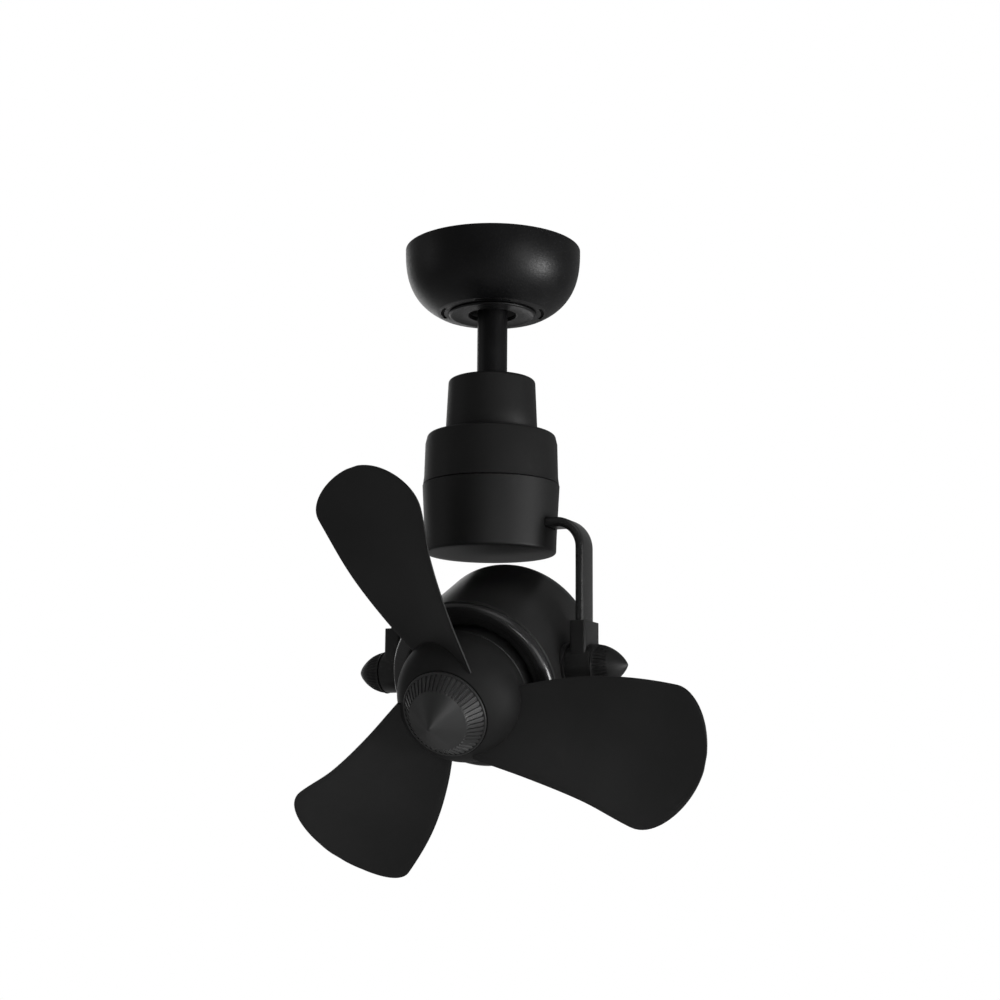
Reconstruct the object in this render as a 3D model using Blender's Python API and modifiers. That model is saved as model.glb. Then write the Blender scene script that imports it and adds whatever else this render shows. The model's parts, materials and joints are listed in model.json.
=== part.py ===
# Small ceiling fan: a head with three blades, tilted in a two-armed yoke that turns below a ceiling mount.
# The origin is the middle of the bracket's ceiling face. +Z is up, and the head faces -Y.

import math

import bmesh
import bpy
import numpy as np
from mathutils import Matrix

# Driving dimensions, in metres

# What touching pieces keep between them
GAP = 0.0003
# What a cutter reaches past the face that it cuts
OVERCUT = 0.002
# How far a joined shape sinks into the shape that it joins
OVERLAP = 0.001

# Facets round a turned shape, by its size
LARGE_ROUND = 24
MEDIUM_ROUND = 16
SMALL_ROUND = 8
ARC_STEPS = 2

# Ceiling bracket
BRACKET_LENGTH = 0.110
BRACKET_WIDTH = 0.044
BRACKET_SHEET = 0.0025
BRACKET_LEG_X = 0.030
BRACKET_SEAT_Z = -0.0435
BRACKET_HOLE_RADIUS = 0.016
BRACKET_SLOT_X = 0.042
BRACKET_SLOT_LENGTH = 0.014
BRACKET_SLOT_WIDTH = 0.0055
BRACKET_MOUTH_SIDE_GAP = 0.0008
TAB_THICKNESS = 0.003
TAB_HEIGHT = 0.008
TAB_TIP_X = 0.0175

# Radio receiver beside the bracket
RECEIVER_SIZE = (0.060, 0.018, 0.024)
RECEIVER_TOP_Z = -0.010
RECEIVER_EDGE = 0.0015

# Hanger ball and downrod
BALL_RADIUS = 0.020
BALL_MOUTH_RADIUS = 0.0145
ROD_RADIUS = 0.0127
ROD_BORE_RADIUS = 0.010
ROD_TOP_ABOVE_BALL = 0.018
ROD_BOTTOM_Z = -0.140
TAB_SIDE_CLEARANCE = 0.0012
TAB_TIP_CLEARANCE = 0.0006
PIN_RADIUS = 0.003
PIN_INSET = 0.001
LEAD_RADIUS = 0.002
LEAD_OFFSET = 0.00535

# Canopy
CANOPY_RADIUS = 0.0742
CANOPY_DEPTH = 0.0623
CANOPY_FULLNESS = 2.65
CANOPY_FLOOR_Z = -0.0548
CANOPY_WALL = 0.0016
CANOPY_TOP_Z = -0.0004
CANOPY_HOLE_RADIUS = 0.0204
CANOPY_RINGS = 7
SLIT_RADIUS = 0.0422
SLIT_WIDTH = 0.0026
SLIT_LENGTH = 0.030
SLIT_COUNT = 4
SLIT_TURN = math.radians(26.1)
SLIT_STEPS = 4
CANOPY_BOSS_RADIUS = 0.0050
CANOPY_SCREW_PLACE = (0.0220, 0.0150)
TRIM_RADIUS = 0.0368
TRIM_THICKNESS = 0.0019
TRIM_EDGE = 0.0012

# Coupling and its cover
COVER_RISE = 0.0267
COVER_TOP_RADIUS = 0.0365
COVER_FOOT_RADIUS = 0.0385
COVER_WALL = 0.0020
COVER_EDGE = 0.0030
COVER_ROD_GAP = 0.0007
COUPLING_RISE = 0.0220
COUPLING_RADIUS = 0.0190
COUPLING_PIN_RISE = 0.0110
FLANGE_RADIUS = 0.0300
FLANGE_THICKNESS = 0.0040
COUPLING_LEDGE = 0.0022
COUPLING_MOUTH_RADIUS = 0.0100
COUPLING_SCREW_PLACE = 0.0255
SLIP_RING_HEIGHT = 0.0157

# Upper housing
SHOULDER_DROP = 0.0205
SHOULDER_INSET = 0.0027
SHOULDER_EDGE = 0.0030
UPPER_HEIGHT = 0.0426
SEAM_GAP = 0.0006
UPPER_FOOT_INSET = 0.0004
HOUSING_WALL = 0.0025
HOUSING_TOP_WALL = 0.0035
BEARING_BOSS_GAP = 0.0020
BEARING_BOSS_DROP = 0.0315
BEARING_RADIUS = 0.0160
BEARING_WIDTH = 0.0090
BEARING_LEDGE_RADIUS = 0.0140
UPPER_BEARING_DROP = 0.0068

# Turntable and its drive
SPINDLE_RADIUS = 0.0075
SPINDLE_DROP = 0.0010
SPINDLE_THREAD_RADIUS = 0.0060
SPINDLE_SHOULDER_RADIUS = 0.0100
SPINDLE_BASE_RADIUS = 0.0140
SPINDLE_BASE_HEIGHT = 0.0040
SPINDLE_BORE_RADIUS = 0.0035
TURNTABLE_INSET = 0.0010
TURNTABLE_DROP = 0.0009
TURNTABLE_THICKNESS = 0.0040
NUT_RADIUS = 0.0115
NUT_SIDES = 6
GEAR_TEETH = 40
PINION_TEETH = 10
TOOTH_ADDENDUM = 0.85
TOOTH_DEDENDUM = 1.20
TOOTH_ROOT_SHARE = 0.58
TOOTH_TIP_SHARE = 0.20
GEAR_DROP = 0.0270
GEAR_THICKNESS = 0.0060
GEAR_BORE_SHARE = 0.80
GEAR_HUB_WALL = 0.0036
PINION_RISE = 0.0005
PINION_THICKNESS = 0.0070
DRIVE_MOTOR_RADIUS = 0.0130
DRIVE_MOTOR_HEIGHT = 0.0190
DRIVE_MOTOR_CLEARANCE = 0.0008
DRIVE_SHAFT_RADIUS = 0.0025
DRIVE_SHAFT_DEPTH = 0.0053

# Lower housing
LOWER_FOOT_RADIUS = 0.0542
LOWER_RIM_FLARE = 0.0027
LOWER_HEIGHT = 0.0571
LOWER_EDGE = 0.0022
LOWER_FLOOR = 0.0035
LOWER_DISH = 0.0014
LUG_RADIUS = 0.0065
LUG_INSET = 0.0057
LUG_DEPTH = 0.0140
LUG_ANGLE = math.radians(45)
TURNTABLE_SCREW_INSET = 0.0072

# Yoke arms
ARM_WIDTH = 0.0220
ARM_THICKNESS = 0.0074
ARM_WALL = 0.0014
ARM_EDGE = 0.0024
ARM_STANDOFF = 0.0122
ARM_BEND_START = 0.0075
ARM_ROOT_X = 0.0300
ARM_ROOT_HEIGHT = 0.0219
ARM_FOOT_HEIGHT = 0.0207
ARM_HOLE_CLEARANCE = 0.0005
BEND_STEPS = 5
PAD_START_X = 0.0280
PAD_INSET = 0.0062
PAD_HALF_WIDTH = 0.0174
CLAMP_INSET = 0.0072
CLAMP_THICKNESS = 0.0030
CLAMP_SCREW_PLACE = (0.0380, 0.0139)

# Tilt pivots
HEAD_CLEARANCE = 0.0233
TILT_DOWN = math.radians(27.4)
SOCKET_WALL = 0.0037
SOCKET_CHEEK = 0.0032
SOCKET_EDGE = 0.0020
SOCKET_HEIGHT = 0.0355
SOCKET_DEPTH = 0.0165
BARREL_RADIUS = 0.0170
BARREL_STANDOFF = 0.0006
BARREL_LENGTH = 0.0227
BARREL_EDGE = 0.0008
BOLT_RADIUS = 0.0060
BOLT_BORE_RADIUS = 0.0020
BOLT_HEAD_RADIUS = 0.0100
BOLT_HEAD_HEIGHT = 0.0037
BOLT_REACH = 0.0122
WASHER_RADIUS = 0.0184
WASHER_THICKNESS = 0.0015
KNOB_LENGTH = 0.0262
KNOB_FULLNESS = 1.9
KNOB_TIP_ROUNDNESS = 0.8
KNOB_RINGS = 6
KNOB_HOLE_MARGIN = 0.0015

# Motor housing, measured along the rotor axis from the tilt axis
CAN_RADIUS = 0.0715
CAN_WALL = 0.0025
CAN_FRONT = 0.0310
CAN_CORNER = 0.0215
CAN_CORNER_START = -0.0500
CAN_BACK_BULGE = 0.0045
CAN_FRONT_EDGE = 0.0010
PIVOT_BOSS_RADIUS = 0.0187
PIVOT_BOSS_DEPTH = 0.0095
PIVOT_SEAT_DEPTH = 0.0014
PIVOT_SEAT_MARGIN = 0.0008
LEDGE_DEPTH = 0.0095
LEDGE_TOP = -0.0243
LEDGE_HEIGHT = 0.0097
RING_LIP_INSET = 0.0012
RING_LIP_WIDTH = 0.0045
RING_FRONT = 0.0380
RING_BORE_RADIUS = 0.0515
RING_BORE_BACK = 0.0310
RING_WALL = 0.0022
RING_SLEEVE_BACK = 0.0220

# Motor
MOUNT_THICKNESS = 0.0035
BEARING_TUBE_RADIUS = 0.0160
BEARING_TUBE_FRONT = 0.0270
MOTOR_BEARING_RADIUS = 0.0117
MOTOR_BEARING_WIDTH = 0.0080
TUBE_LEDGE_RADIUS = 0.0105
BOARD_POST_RADIUS = 0.0030
BOARD_POST_INSET = 0.0080
BOARD_POST_COUNT = 3
BOARD_CLEARANCE = 0.0040
BOARD_HOLE_RADIUS = 0.0090
BOARD_THICKNESS = 0.0016
BOARD_DISTANCE = 0.0100
STATOR_POLES = 9
STATOR_YOKE_RADIUS = 0.0240
STATOR_NECK_HALF_WIDTH = 0.0030
STATOR_SHOE_START = 0.0380
STATOR_RADIUS = 0.0433
STATOR_SHOE_ANGLE = math.radians(12.5)
STATOR_BACK = -0.0060
STATOR_FRONT = 0.0200
WINDING_OVERHANG = 0.0040
ROTOR_RADIUS = 0.0500
ROTOR_WALL = 0.0024
ROTOR_BACK = -0.0080
ROTOR_FRONT = 0.0430
ROTOR_PLATE = 0.0030
ROTOR_BOSS_RADIUS = 0.0120
ROTOR_BOSS_BACK = 0.0300
MAGNET_THICKNESS = 0.0033
MAGNET_BACK = -0.0060
MAGNET_FRONT = 0.0220
SHAFT_RADIUS = 0.0050
SHAFT_BACK = -0.0270
SHAFT_FRONT = 0.1030

# Hub, blades and spinner
HUB_RADIUS = 0.0528
HUB_WIDEST = 0.0550
HUB_FRONT = 0.0867
HUB_FRONT_RADIUS = 0.0360
HUB_BACK = 0.0460
HUB_BACK_RADIUS = 0.0518
HUB_WALL = 0.0024
HUB_RINGS = 4
CARRIER_RADIUS = 0.0380
CARRIER_FRONT = 0.0780
CARRIER_BOSS_RADIUS = 0.0120
BLADE_COUNT = 3
BLADE_FIRST_ANGLE = math.radians(-16.1)
BLADE_TIP_RADIUS = 0.2030
BLADE_ROOT_THICKNESS = 0.0040
BLADE_TIP_THICKNESS = 0.0022
BLADE_EDGE_SHARE = 0.35
BLADE_CAMBER = 0.078
# Radius, chord ahead of and behind the blade's middle line, pitch in degrees, and how far forward it lies
BLADE_STATIONS = (
    (0.008, 0.0060, 0.0385, 29.5, 0.0640),
    (0.029, 0.0160, 0.0395, 27.5, 0.0655),
    (0.070, 0.0355, 0.0413, 23.5, 0.0686),
    (0.116, 0.0500, 0.0470, 19.5, 0.0697),
    (0.163, 0.0560, 0.0590, 16.5, 0.0685),
    (0.203, 0.0570, 0.0592, 15.5, 0.0705),
)
LEAD_ROUND_START = 0.1714
TRAIL_ROUND_START = 0.1560
TIP_ROUNDNESS = 1.87
BLADE_SPAN_STEPS = 9
BLADE_CHORD_STEPS = 6
TONGUE_START = 0.0240
TONGUE_END = 0.0600
TONGUE_HALF_WIDTH = 0.0090
BLADE_SCREW_PLACE = 0.0310
BLADE_SCREW_END = 0.0520
SPINNER_RADIUS = 0.0352
SPINNER_RIM = 0.0020
SPINNER_BAND_BACK_RADIUS = 0.0336
SPINNER_BAND_FRONT_RADIUS = 0.0248
SPINNER_BAND_FRONT = 0.0998
SPINNER_CONE_RADIUS = 0.0242
SPINNER_TIP = 0.1171
SPINNER_TIP_RADIUS = 0.0012
SPINNER_WALL = 0.0025
SPINNER_BOSS_RADIUS = 0.0090

# Screws: shank radius, head radius, head height
CANOPY_SCREW = (0.0020, 0.0036, 0.0020)
COUPLING_SCREW = (0.0025, 0.0040, 0.0035)
TURNTABLE_SCREW = (0.0019, 0.0038, 0.0025)
CLAMP_SCREW = (0.0017, 0.0030, 0.0025)
BLADE_SCREW = (0.0020, 0.0036, 0.0027)

# Sizes and levels that follow from the ones above
LOWER_RIM_RADIUS = LOWER_FOOT_RADIUS + LOWER_RIM_FLARE
UPPER_FOOT_RADIUS = LOWER_RIM_RADIUS - UPPER_FOOT_INSET
SHOULDER_RADIUS = UPPER_FOOT_RADIUS - SHOULDER_INSET
TURNTABLE_RADIUS = LOWER_FOOT_RADIUS - TURNTABLE_INSET
TURNTABLE_SCREW_PLACE = LOWER_FOOT_RADIUS - TURNTABLE_SCREW_INSET
LUG_PLACE = LOWER_FOOT_RADIUS - LUG_INSET
PAD_END_X = LOWER_FOOT_RADIUS - PAD_INSET
CLAMP_HALF_LENGTH = LOWER_FOOT_RADIUS - CLAMP_INSET
DRIVE_OFFSET = SHOULDER_RADIUS - HOUSING_WALL - DRIVE_MOTOR_RADIUS - DRIVE_MOTOR_CLEARANCE
GEAR_MODULE = 2 * DRIVE_OFFSET / (GEAR_TEETH + PINION_TEETH)
GEAR_BORE_RADIUS = GEAR_BORE_SHARE * GEAR_MODULE * GEAR_TEETH / 2
BEARING_BOSS_RADIUS = GEAR_BORE_RADIUS - BEARING_BOSS_GAP
BALL_Z = BRACKET_SEAT_Z + math.sqrt((BALL_RADIUS + GAP) ** 2 - BRACKET_HOLE_RADIUS**2)
COVER_TOP_Z = ROD_BOTTOM_Z + COVER_RISE
COUPLING_TOP_Z = ROD_BOTTOM_Z + COUPLING_RISE
COUPLING_PIN_Z = ROD_BOTTOM_Z + COUPLING_PIN_RISE
SHOULDER_Z = ROD_BOTTOM_Z - SHOULDER_DROP
SPINDLE_TOP_Z = SHOULDER_Z - SPINDLE_DROP
UPPER_BEARING_TOP_Z = SHOULDER_Z - UPPER_BEARING_DROP
BEARING_BOSS_FOOT_Z = SHOULDER_Z - BEARING_BOSS_DROP
GEAR_TOP_Z = SHOULDER_Z - GEAR_DROP
PINION_TOP_Z = GEAR_TOP_Z + PINION_RISE
SEAM_Z = SHOULDER_Z - UPPER_HEIGHT
TURNTABLE_TOP_Z = SEAM_Z - TURNTABLE_DROP
FLANGE_TOP_Z = SHOULDER_Z + GAP + FLANGE_THICKNESS
UPPER_FOOT_Z = SEAM_Z + SEAM_GAP / 2
LOWER_RIM_Z = SEAM_Z - SEAM_GAP / 2
BEARING_STEP_Z = UPPER_BEARING_TOP_Z - BEARING_WIDTH - GAP
LOWER_BEARING_TOP_Z = BEARING_BOSS_FOOT_Z + BEARING_WIDTH
TURNTABLE_FOOT_Z = TURNTABLE_TOP_Z - TURNTABLE_THICKNESS
DRIVE_MOTOR_TOP_Z = SHOULDER_Z - HOUSING_TOP_WALL - GAP
LOWER_FOOT_Z = SEAM_Z - LOWER_HEIGHT
FLOOR_Z = LOWER_FOOT_Z + LOWER_DISH + LOWER_FLOOR
ARM_ROOT_Z = LOWER_FOOT_Z + ARM_ROOT_HEIGHT
PAD_TOP_Z = ARM_ROOT_Z - ARM_THICKNESS / 2 - GAP
CLAMP_FOOT_Z = ARM_ROOT_Z + ARM_THICKNESS / 2 + GAP
TILT_Z = LOWER_FOOT_Z - CAN_RADIUS - HEAD_CLEARANCE
ARM_FOOT_Z = TILT_Z + ARM_FOOT_HEIGHT
SOCKET_TOP_Z = TILT_Z + SOCKET_HEIGHT
PIVOT_BOSS_START_X = CAN_RADIUS - PIVOT_BOSS_DEPTH
PIVOT_BOSS_END_X = CAN_RADIUS - PIVOT_SEAT_DEPTH
BARREL_START_X = CAN_RADIUS + BARREL_STANDOFF
BARREL_END_X = BARREL_START_X + BARREL_LENGTH
BOLT_END_X = BARREL_END_X + BOLT_REACH
KNOB_TIP_X = BARREL_END_X + KNOB_LENGTH
ARM_X = CAN_RADIUS + ARM_STANDOFF
ARM_BEND_RADIUS = ARM_X - LOWER_FOOT_RADIUS - ARM_BEND_START
LEDGE_RADIUS = CAN_RADIUS - LEDGE_DEPTH
RING_LIP_RADIUS = CAN_RADIUS - RING_LIP_INSET
MOUNT_BACK = LEDGE_TOP + GAP
BOARD_RADIUS = LEDGE_RADIUS - BOARD_CLEARANCE
BOARD_POST_PLACE = BOARD_RADIUS - BOARD_POST_INSET
HUB_DEPTH = (HUB_FRONT - HUB_WIDEST) / math.sqrt(1 - (HUB_FRONT_RADIUS / HUB_RADIUS) ** 2)
SPINNER_BACK = HUB_FRONT + GAP

# Colours and surfaces: linear colour, roughness, metallic
LOOKS = {
    "black_paint": ((0.010, 0.010, 0.011), 0.42, 0.0),
    "powder_coat": ((0.012, 0.012, 0.013), 0.50, 0.0),
    "black_plastic": ((0.014, 0.014, 0.014), 0.45, 0.0),
    "steel": ((0.42, 0.42, 0.42), 0.35, 1.0),
    "black_screw": ((0.020, 0.020, 0.021), 0.40, 0.6),
    "white_plastic": ((0.75, 0.75, 0.72), 0.45, 0.0),
    "rubber": ((0.015, 0.015, 0.015), 0.80, 0.0),
    "copper": ((0.60, 0.22, 0.08), 0.35, 1.0),
    "laminations": ((0.22, 0.22, 0.23), 0.50, 1.0),
    "magnet": ((0.03, 0.03, 0.03), 0.60, 0.0),
    "board": ((0.02, 0.10, 0.04), 0.50, 0.0),
}


def clear_scene():
    for obj in list(bpy.data.objects):
        bpy.data.objects.remove(obj, do_unlink=True)


clear_scene()
fan = bpy.data.collections.new("ceiling_fan")
cutters = bpy.data.collections.new("cutters")
bpy.context.scene.collection.children.link(fan)
bpy.context.scene.collection.children.link(cutters)
cutters.hide_render = True


def look_of(name, look):
    colour, roughness, metallic = LOOKS[look]
    made = bpy.data.materials.new(f"{name}_{look}")
    made.use_nodes = True
    shader = made.node_tree.nodes["Principled BSDF"]
    shader.inputs["Base Color"].default_value = (*colour, 1.0)
    shader.inputs["Roughness"].default_value = roughness
    shader.inputs["Metallic"].default_value = metallic
    made.diffuse_color = (*colour, 1.0)
    return made


def pivot(name, location=(0, 0, 0), rotation=(0, 0, 0), parent=None):
    """An empty that pieces are hung on, with the joint's axis through it."""
    made = bpy.data.objects.new(name, None)
    made.location = location
    made.rotation_euler = rotation
    made.parent = parent
    fan.objects.link(made)
    return made


def add(name, mesh, look, parent):
    """An object of the mesh: a piece where it has a look, or else a cutter."""
    made = bpy.data.objects.new(name, mesh)
    made.parent = parent
    if look:
        fan.objects.link(made)
        mesh.materials.append(look_of(name, look))
    else:
        cutters.objects.link(made)
        made.hide_render = True
        made.display_type = "WIRE"
    mesh.shade_smooth()
    mesh.set_sharp_from_angle(angle=math.radians(35))
    return made


def in_world(obj):
    """Keeps the world's coordinates for an object whose parent stands away from the origin."""
    obj.matrix_parent_inverse = Matrix.Translation(-obj.parent.location)
    return obj


def combine(target, operation, tools):
    for tool in tools:
        modifier = target.modifiers.new(tool.name, "BOOLEAN")
        modifier.operation = operation
        modifier.solver = "EXACT"
        modifier.object = tool
    return target


def cut(target, *tools):
    return combine(target, "DIFFERENCE", tools)


def join(target, *tools):
    return combine(target, "UNION", tools)


def keep(target, *tools):
    return combine(target, "INTERSECT", tools)


def arc(centre_r, centre_z, radius, start, end, steps=ARC_STEPS):
    """Points of a profile's round stretch, with angles in degrees from +r towards +z."""
    angles = np.radians(np.linspace(start, end, steps + 1))
    return [(centre_r + radius * math.cos(a), centre_z + radius * math.sin(a)) for a in angles]


def lathe(name, profile, look=None, parent=None, segments=MEDIUM_ROUND, start=0):
    """Turns a profile of (radius, height) points round Z: a ring, unless both ends are on the axis."""
    on_axis = profile[0][0] == 0 and profile[-1][0] == 0
    area = sum(a[0] * b[1] - b[0] * a[1] for a, b in zip(profile, profile[1:] + profile[:1]))
    if area > 0:
        profile = profile[::-1]
    mesh = bpy.data.meshes.new(name)
    count = len(profile)
    edges = [(i, (i + 1) % count) for i in range(count - on_axis)]
    mesh.from_pydata([(r * math.cos(start), r * math.sin(start), z) for r, z in profile], edges, [])
    made = add(name, mesh, look, parent)
    screw = made.modifiers.new("turn", "SCREW")
    screw.axis = "Z"
    screw.angle = 2 * math.pi
    screw.steps = segments
    screw.render_steps = segments
    screw.use_merge_vertices = True
    screw.merge_threshold = 1e-6
    screw.use_smooth_shade = True
    return made


def rod(name, radius, low, high, look=None, parent=None, segments=SMALL_ROUND):
    # A cutter's corners stay off the edges of what it cuts
    start = 0 if look else math.pi / segments
    return lathe(name, [(0, high), (radius, high), (radius, low), (0, low)], look, parent, segments, start)


def tube(name, outer, inner, low, high, look=None, parent=None, segments=MEDIUM_ROUND):
    profile = [(inner, high), (outer, high), (outer, low), (inner, low)]
    return lathe(name, profile, look, parent, segments)


def screw_shape(name, size, seat, end, look, parent):
    """A screw along Z with its head's underside at seat and its shank's end at end."""
    shank, head, height = size
    way = 1 if seat > end else -1
    top = seat + way * height
    profile = [(0, top), (head, top), (head, seat), (shank, seat), (shank, end), (0, end)]
    return lathe(name, profile, look, parent, SMALL_ROUND)


def box(name, low, high, look=None, parent=None):
    mesh = bpy.data.meshes.new(name)
    shape = bmesh.new()
    size = [b - a for a, b in zip(low, high)]
    middle = [(a + b) / 2 for a, b in zip(low, high)]
    bmesh.ops.create_cube(shape, size=1, matrix=Matrix.Translation(middle) @ Matrix.Diagonal((*size, 1)))
    shape.to_mesh(mesh)
    shape.free()
    return add(name, mesh, look, parent)


def plate(name, outline, low, high, look=None, parent=None):
    """A flat outline of (x, y) points with its thickness from low to high."""
    curve = bpy.data.curves.new(name, "CURVE")
    curve.dimensions = "2D"
    curve.fill_mode = "BOTH"
    curve.extrude = (high - low) / 2
    spline = curve.splines.new("POLY")
    spline.points.add(len(outline) - 1)
    for point, (x, y) in zip(spline.points, outline):
        point.co = (x, y, 0, 1)
    spline.use_cyclic_u = True
    drawn = bpy.data.objects.new(name, curve)
    cutters.objects.link(drawn)
    mesh = bpy.data.meshes.new_from_object(drawn.evaluated_get(bpy.context.evaluated_depsgraph_get()))
    bpy.data.objects.remove(drawn)
    shape = bmesh.new()
    shape.from_mesh(mesh)
    bmesh.ops.remove_doubles(shape, verts=shape.verts, dist=1e-6)
    bmesh.ops.translate(shape, verts=shape.verts, vec=(0, 0, (high + low) / 2))
    bmesh.ops.recalc_face_normals(shape, faces=shape.faces)
    shape.to_mesh(mesh)
    shape.free()
    return add(name, mesh, look, parent)


def bevelled(obj, width, segments=2):
    bevel = obj.modifiers.new("edges", "BEVEL")
    bevel.width = width
    bevel.segments = segments
    bevel.limit_method = "ANGLE"
    return obj


def turned_to(obj, axis):
    """Lays what was made along Z along X or Y."""
    obj.rotation_euler = (0, math.pi / 2, 0) if axis == "X" else (-math.pi / 2, 0, 0)
    return obj


def placed(obj, x=0, y=0, z=0, turn=0):
    obj.location = (x, y, z)
    obj.rotation_euler.z += turn
    return obj


def rounded_rectangle(width, height, edge):
    """Outline points of a rectangle with round corners, about its middle."""
    points = []
    for corner, (sx, sy) in enumerate(((1, 1), (-1, 1), (-1, -1), (1, -1))):
        start = 90 * corner
        points += arc(sx * (width / 2 - edge), sy * (height / 2 - edge), edge, start, start + 90, 2)
    return points


# Joint axes

swing_pivot = pivot("swing_pivot", (0, 0, BALL_Z))
orbit_pivot = pivot("orbit_pivot")
tilt_pivot = pivot("tilt_pivot", (0, 0, TILT_Z), (math.pi / 2 + TILT_DOWN, 0, 0), orbit_pivot)
rotor_pivot = pivot("rotor_pivot", parent=tilt_pivot)
SIDES = {"right": 1, "left": -1}
arm_end_pivots = {
    side: pivot(f"arm_end_{side}", (0, 0, TILT_Z), (0, way * math.pi / 2, 0), orbit_pivot)
    for side, way in SIDES.items()
}
knob_pivots = {
    side: pivot(f"knob_pivot_{side}", rotation=(0, way * math.pi / 2, 0), parent=tilt_pivot)
    for side, way in SIDES.items()
}


def hung(obj):
    obj.parent = swing_pivot
    return in_world(obj)


# Ceiling bracket, receiver and canopy


def hanger_bracket():
    half, leg = BRACKET_WIDTH / 2, BRACKET_LEG_X
    made = box(
        "hanger_bracket",
        (-BRACKET_LENGTH / 2, -half, -BRACKET_SHEET),
        (BRACKET_LENGTH / 2, half, 0),
        "steel",
    )
    foot = BRACKET_SEAT_Z - BRACKET_SHEET
    cage = box("bracket_cage", (-leg, -half, foot), (leg, half, -BRACKET_SHEET / 2))
    inner = leg - BRACKET_SHEET
    window = box(
        "bracket_window", (-inner, -half - OVERCUT, BRACKET_SEAT_Z), (inner, half + OVERCUT, -BRACKET_SHEET)
    )
    cut(cage, window)
    seat = BRACKET_SEAT_Z + OVERCUT
    hole = rod("bracket_hole", BRACKET_HOLE_RADIUS, foot - OVERCUT, seat, segments=LARGE_ROUND)
    mouth_half = ROD_RADIUS + BRACKET_MOUTH_SIDE_GAP
    mouth = box(
        "bracket_mouth", (-mouth_half, -half - OVERCUT, foot - OVERCUT), (mouth_half, 0, seat)
    )
    tab = box(
        "bracket_tab",
        (TAB_TIP_X, -TAB_THICKNESS / 2, BALL_Z - TAB_HEIGHT / 2),
        (leg - BRACKET_SHEET / 2, TAB_THICKNESS / 2, BALL_Z + TAB_HEIGHT / 2),
    )
    join(made, cage)
    cut(made, hole, mouth)
    join(made, tab)
    slot = rounded_rectangle(BRACKET_SLOT_LENGTH, BRACKET_SLOT_WIDTH, BRACKET_SLOT_WIDTH / 2 - GAP)
    for way in (1, -1):
        cutter = plate(f"ceiling_slot_{way}", slot, -BRACKET_SHEET - OVERCUT, OVERCUT)
        cut(made, placed(cutter, way * BRACKET_SLOT_X))
        screw_hole = rod(
            f"bracket_screw_hole_{way}", CANOPY_SCREW[0] + GAP, foot - OVERCUT, BRACKET_SEAT_Z + OVERCUT
        )
        x, y = CANOPY_SCREW_PLACE
        cut(made, placed(screw_hole, way * x, way * y))
    return made


def receiver_module():
    width, depth, height = RECEIVER_SIZE
    start = BRACKET_WIDTH / 2 + GAP
    made = box(
        "receiver_module",
        (-width / 2, start, RECEIVER_TOP_Z - height),
        (width / 2, start + depth, RECEIVER_TOP_Z),
        "white_plastic",
    )
    return bevelled(made, RECEIVER_EDGE)


def bowl_profile(radius, depth, top, floor, rings):
    """Points down the canopy's bowl from its rim to its flat floor."""
    levels = [top + (floor - top) * math.sin(i / rings * math.pi / 2) for i in range(rings + 1)]
    full = CANOPY_FULLNESS
    return [(radius * (1 - (-z / depth) ** full) ** (1 / full), z) for z in levels]


def canopy():
    wall = CANOPY_WALL
    outside = bowl_profile(CANOPY_RADIUS, CANOPY_DEPTH, CANOPY_TOP_Z, CANOPY_FLOOR_Z, CANOPY_RINGS)
    inside = bowl_profile(
        CANOPY_RADIUS - wall, CANOPY_DEPTH - wall, CANOPY_TOP_Z, CANOPY_FLOOR_Z + wall, CANOPY_RINGS // 2 + 1
    )
    hole = [(CANOPY_HOLE_RADIUS, CANOPY_FLOOR_Z), (CANOPY_HOLE_RADIUS, CANOPY_FLOOR_Z + wall)]
    made = lathe("canopy", outside + hole + inside[::-1], "powder_coat", segments=LARGE_ROUND)
    shank, head, height = CANOPY_SCREW
    x, y = CANOPY_SCREW_PLACE
    for way in (1, -1):
        boss_top = BRACKET_SEAT_Z - BRACKET_SHEET - GAP
        boss = rod(f"canopy_boss_{way}", CANOPY_BOSS_RADIUS, CANOPY_FLOOR_Z + wall / 2, boss_top)
        join(made, placed(boss, way * x, way * y))
        seat_z = CANOPY_FLOOR_Z + height + GAP
        profile = [(0, boss_top + OVERCUT), (shank + GAP, boss_top + OVERCUT), (shank + GAP, seat_z)]
        low = CANOPY_FLOOR_Z - OVERCUT
        profile += [(head + GAP, seat_z), (head + GAP, low), (0, low)]
        hole = lathe(f"canopy_screw_hole_{way}", profile, segments=SMALL_ROUND)
        cut(made, placed(hole, way * x, way * y))
    half_angle = SLIT_LENGTH / SLIT_RADIUS / 2
    angles = np.linspace(-half_angle, half_angle, SLIT_STEPS + 1)
    outer, inner = SLIT_RADIUS + SLIT_WIDTH / 2, SLIT_RADIUS - SLIT_WIDTH / 2
    outline = [(outer * math.cos(a), outer * math.sin(a)) for a in angles]
    outline += [(inner * math.cos(a), inner * math.sin(a)) for a in angles[::-1]]
    for i in range(SLIT_COUNT):
        slit = plate(f"canopy_slit_{i}", outline, CANOPY_FLOOR_Z - OVERCUT, CANOPY_FLOOR_Z + wall + OVERCUT)
        cut(made, placed(slit, turn=SLIT_TURN + i * 2 * math.pi / SLIT_COUNT))
    return made


def canopy_trim():
    top = CANOPY_FLOOR_Z - GAP
    low = top - TRIM_THICKNESS
    profile = [(CANOPY_HOLE_RADIUS, top), (TRIM_RADIUS, top)]
    profile += arc(TRIM_RADIUS - TRIM_EDGE, low + TRIM_EDGE, TRIM_EDGE, 0, -90)
    profile += [(CANOPY_HOLE_RADIUS, low)]
    return lathe("canopy_trim", profile, "powder_coat", segments=LARGE_ROUND)


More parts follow.
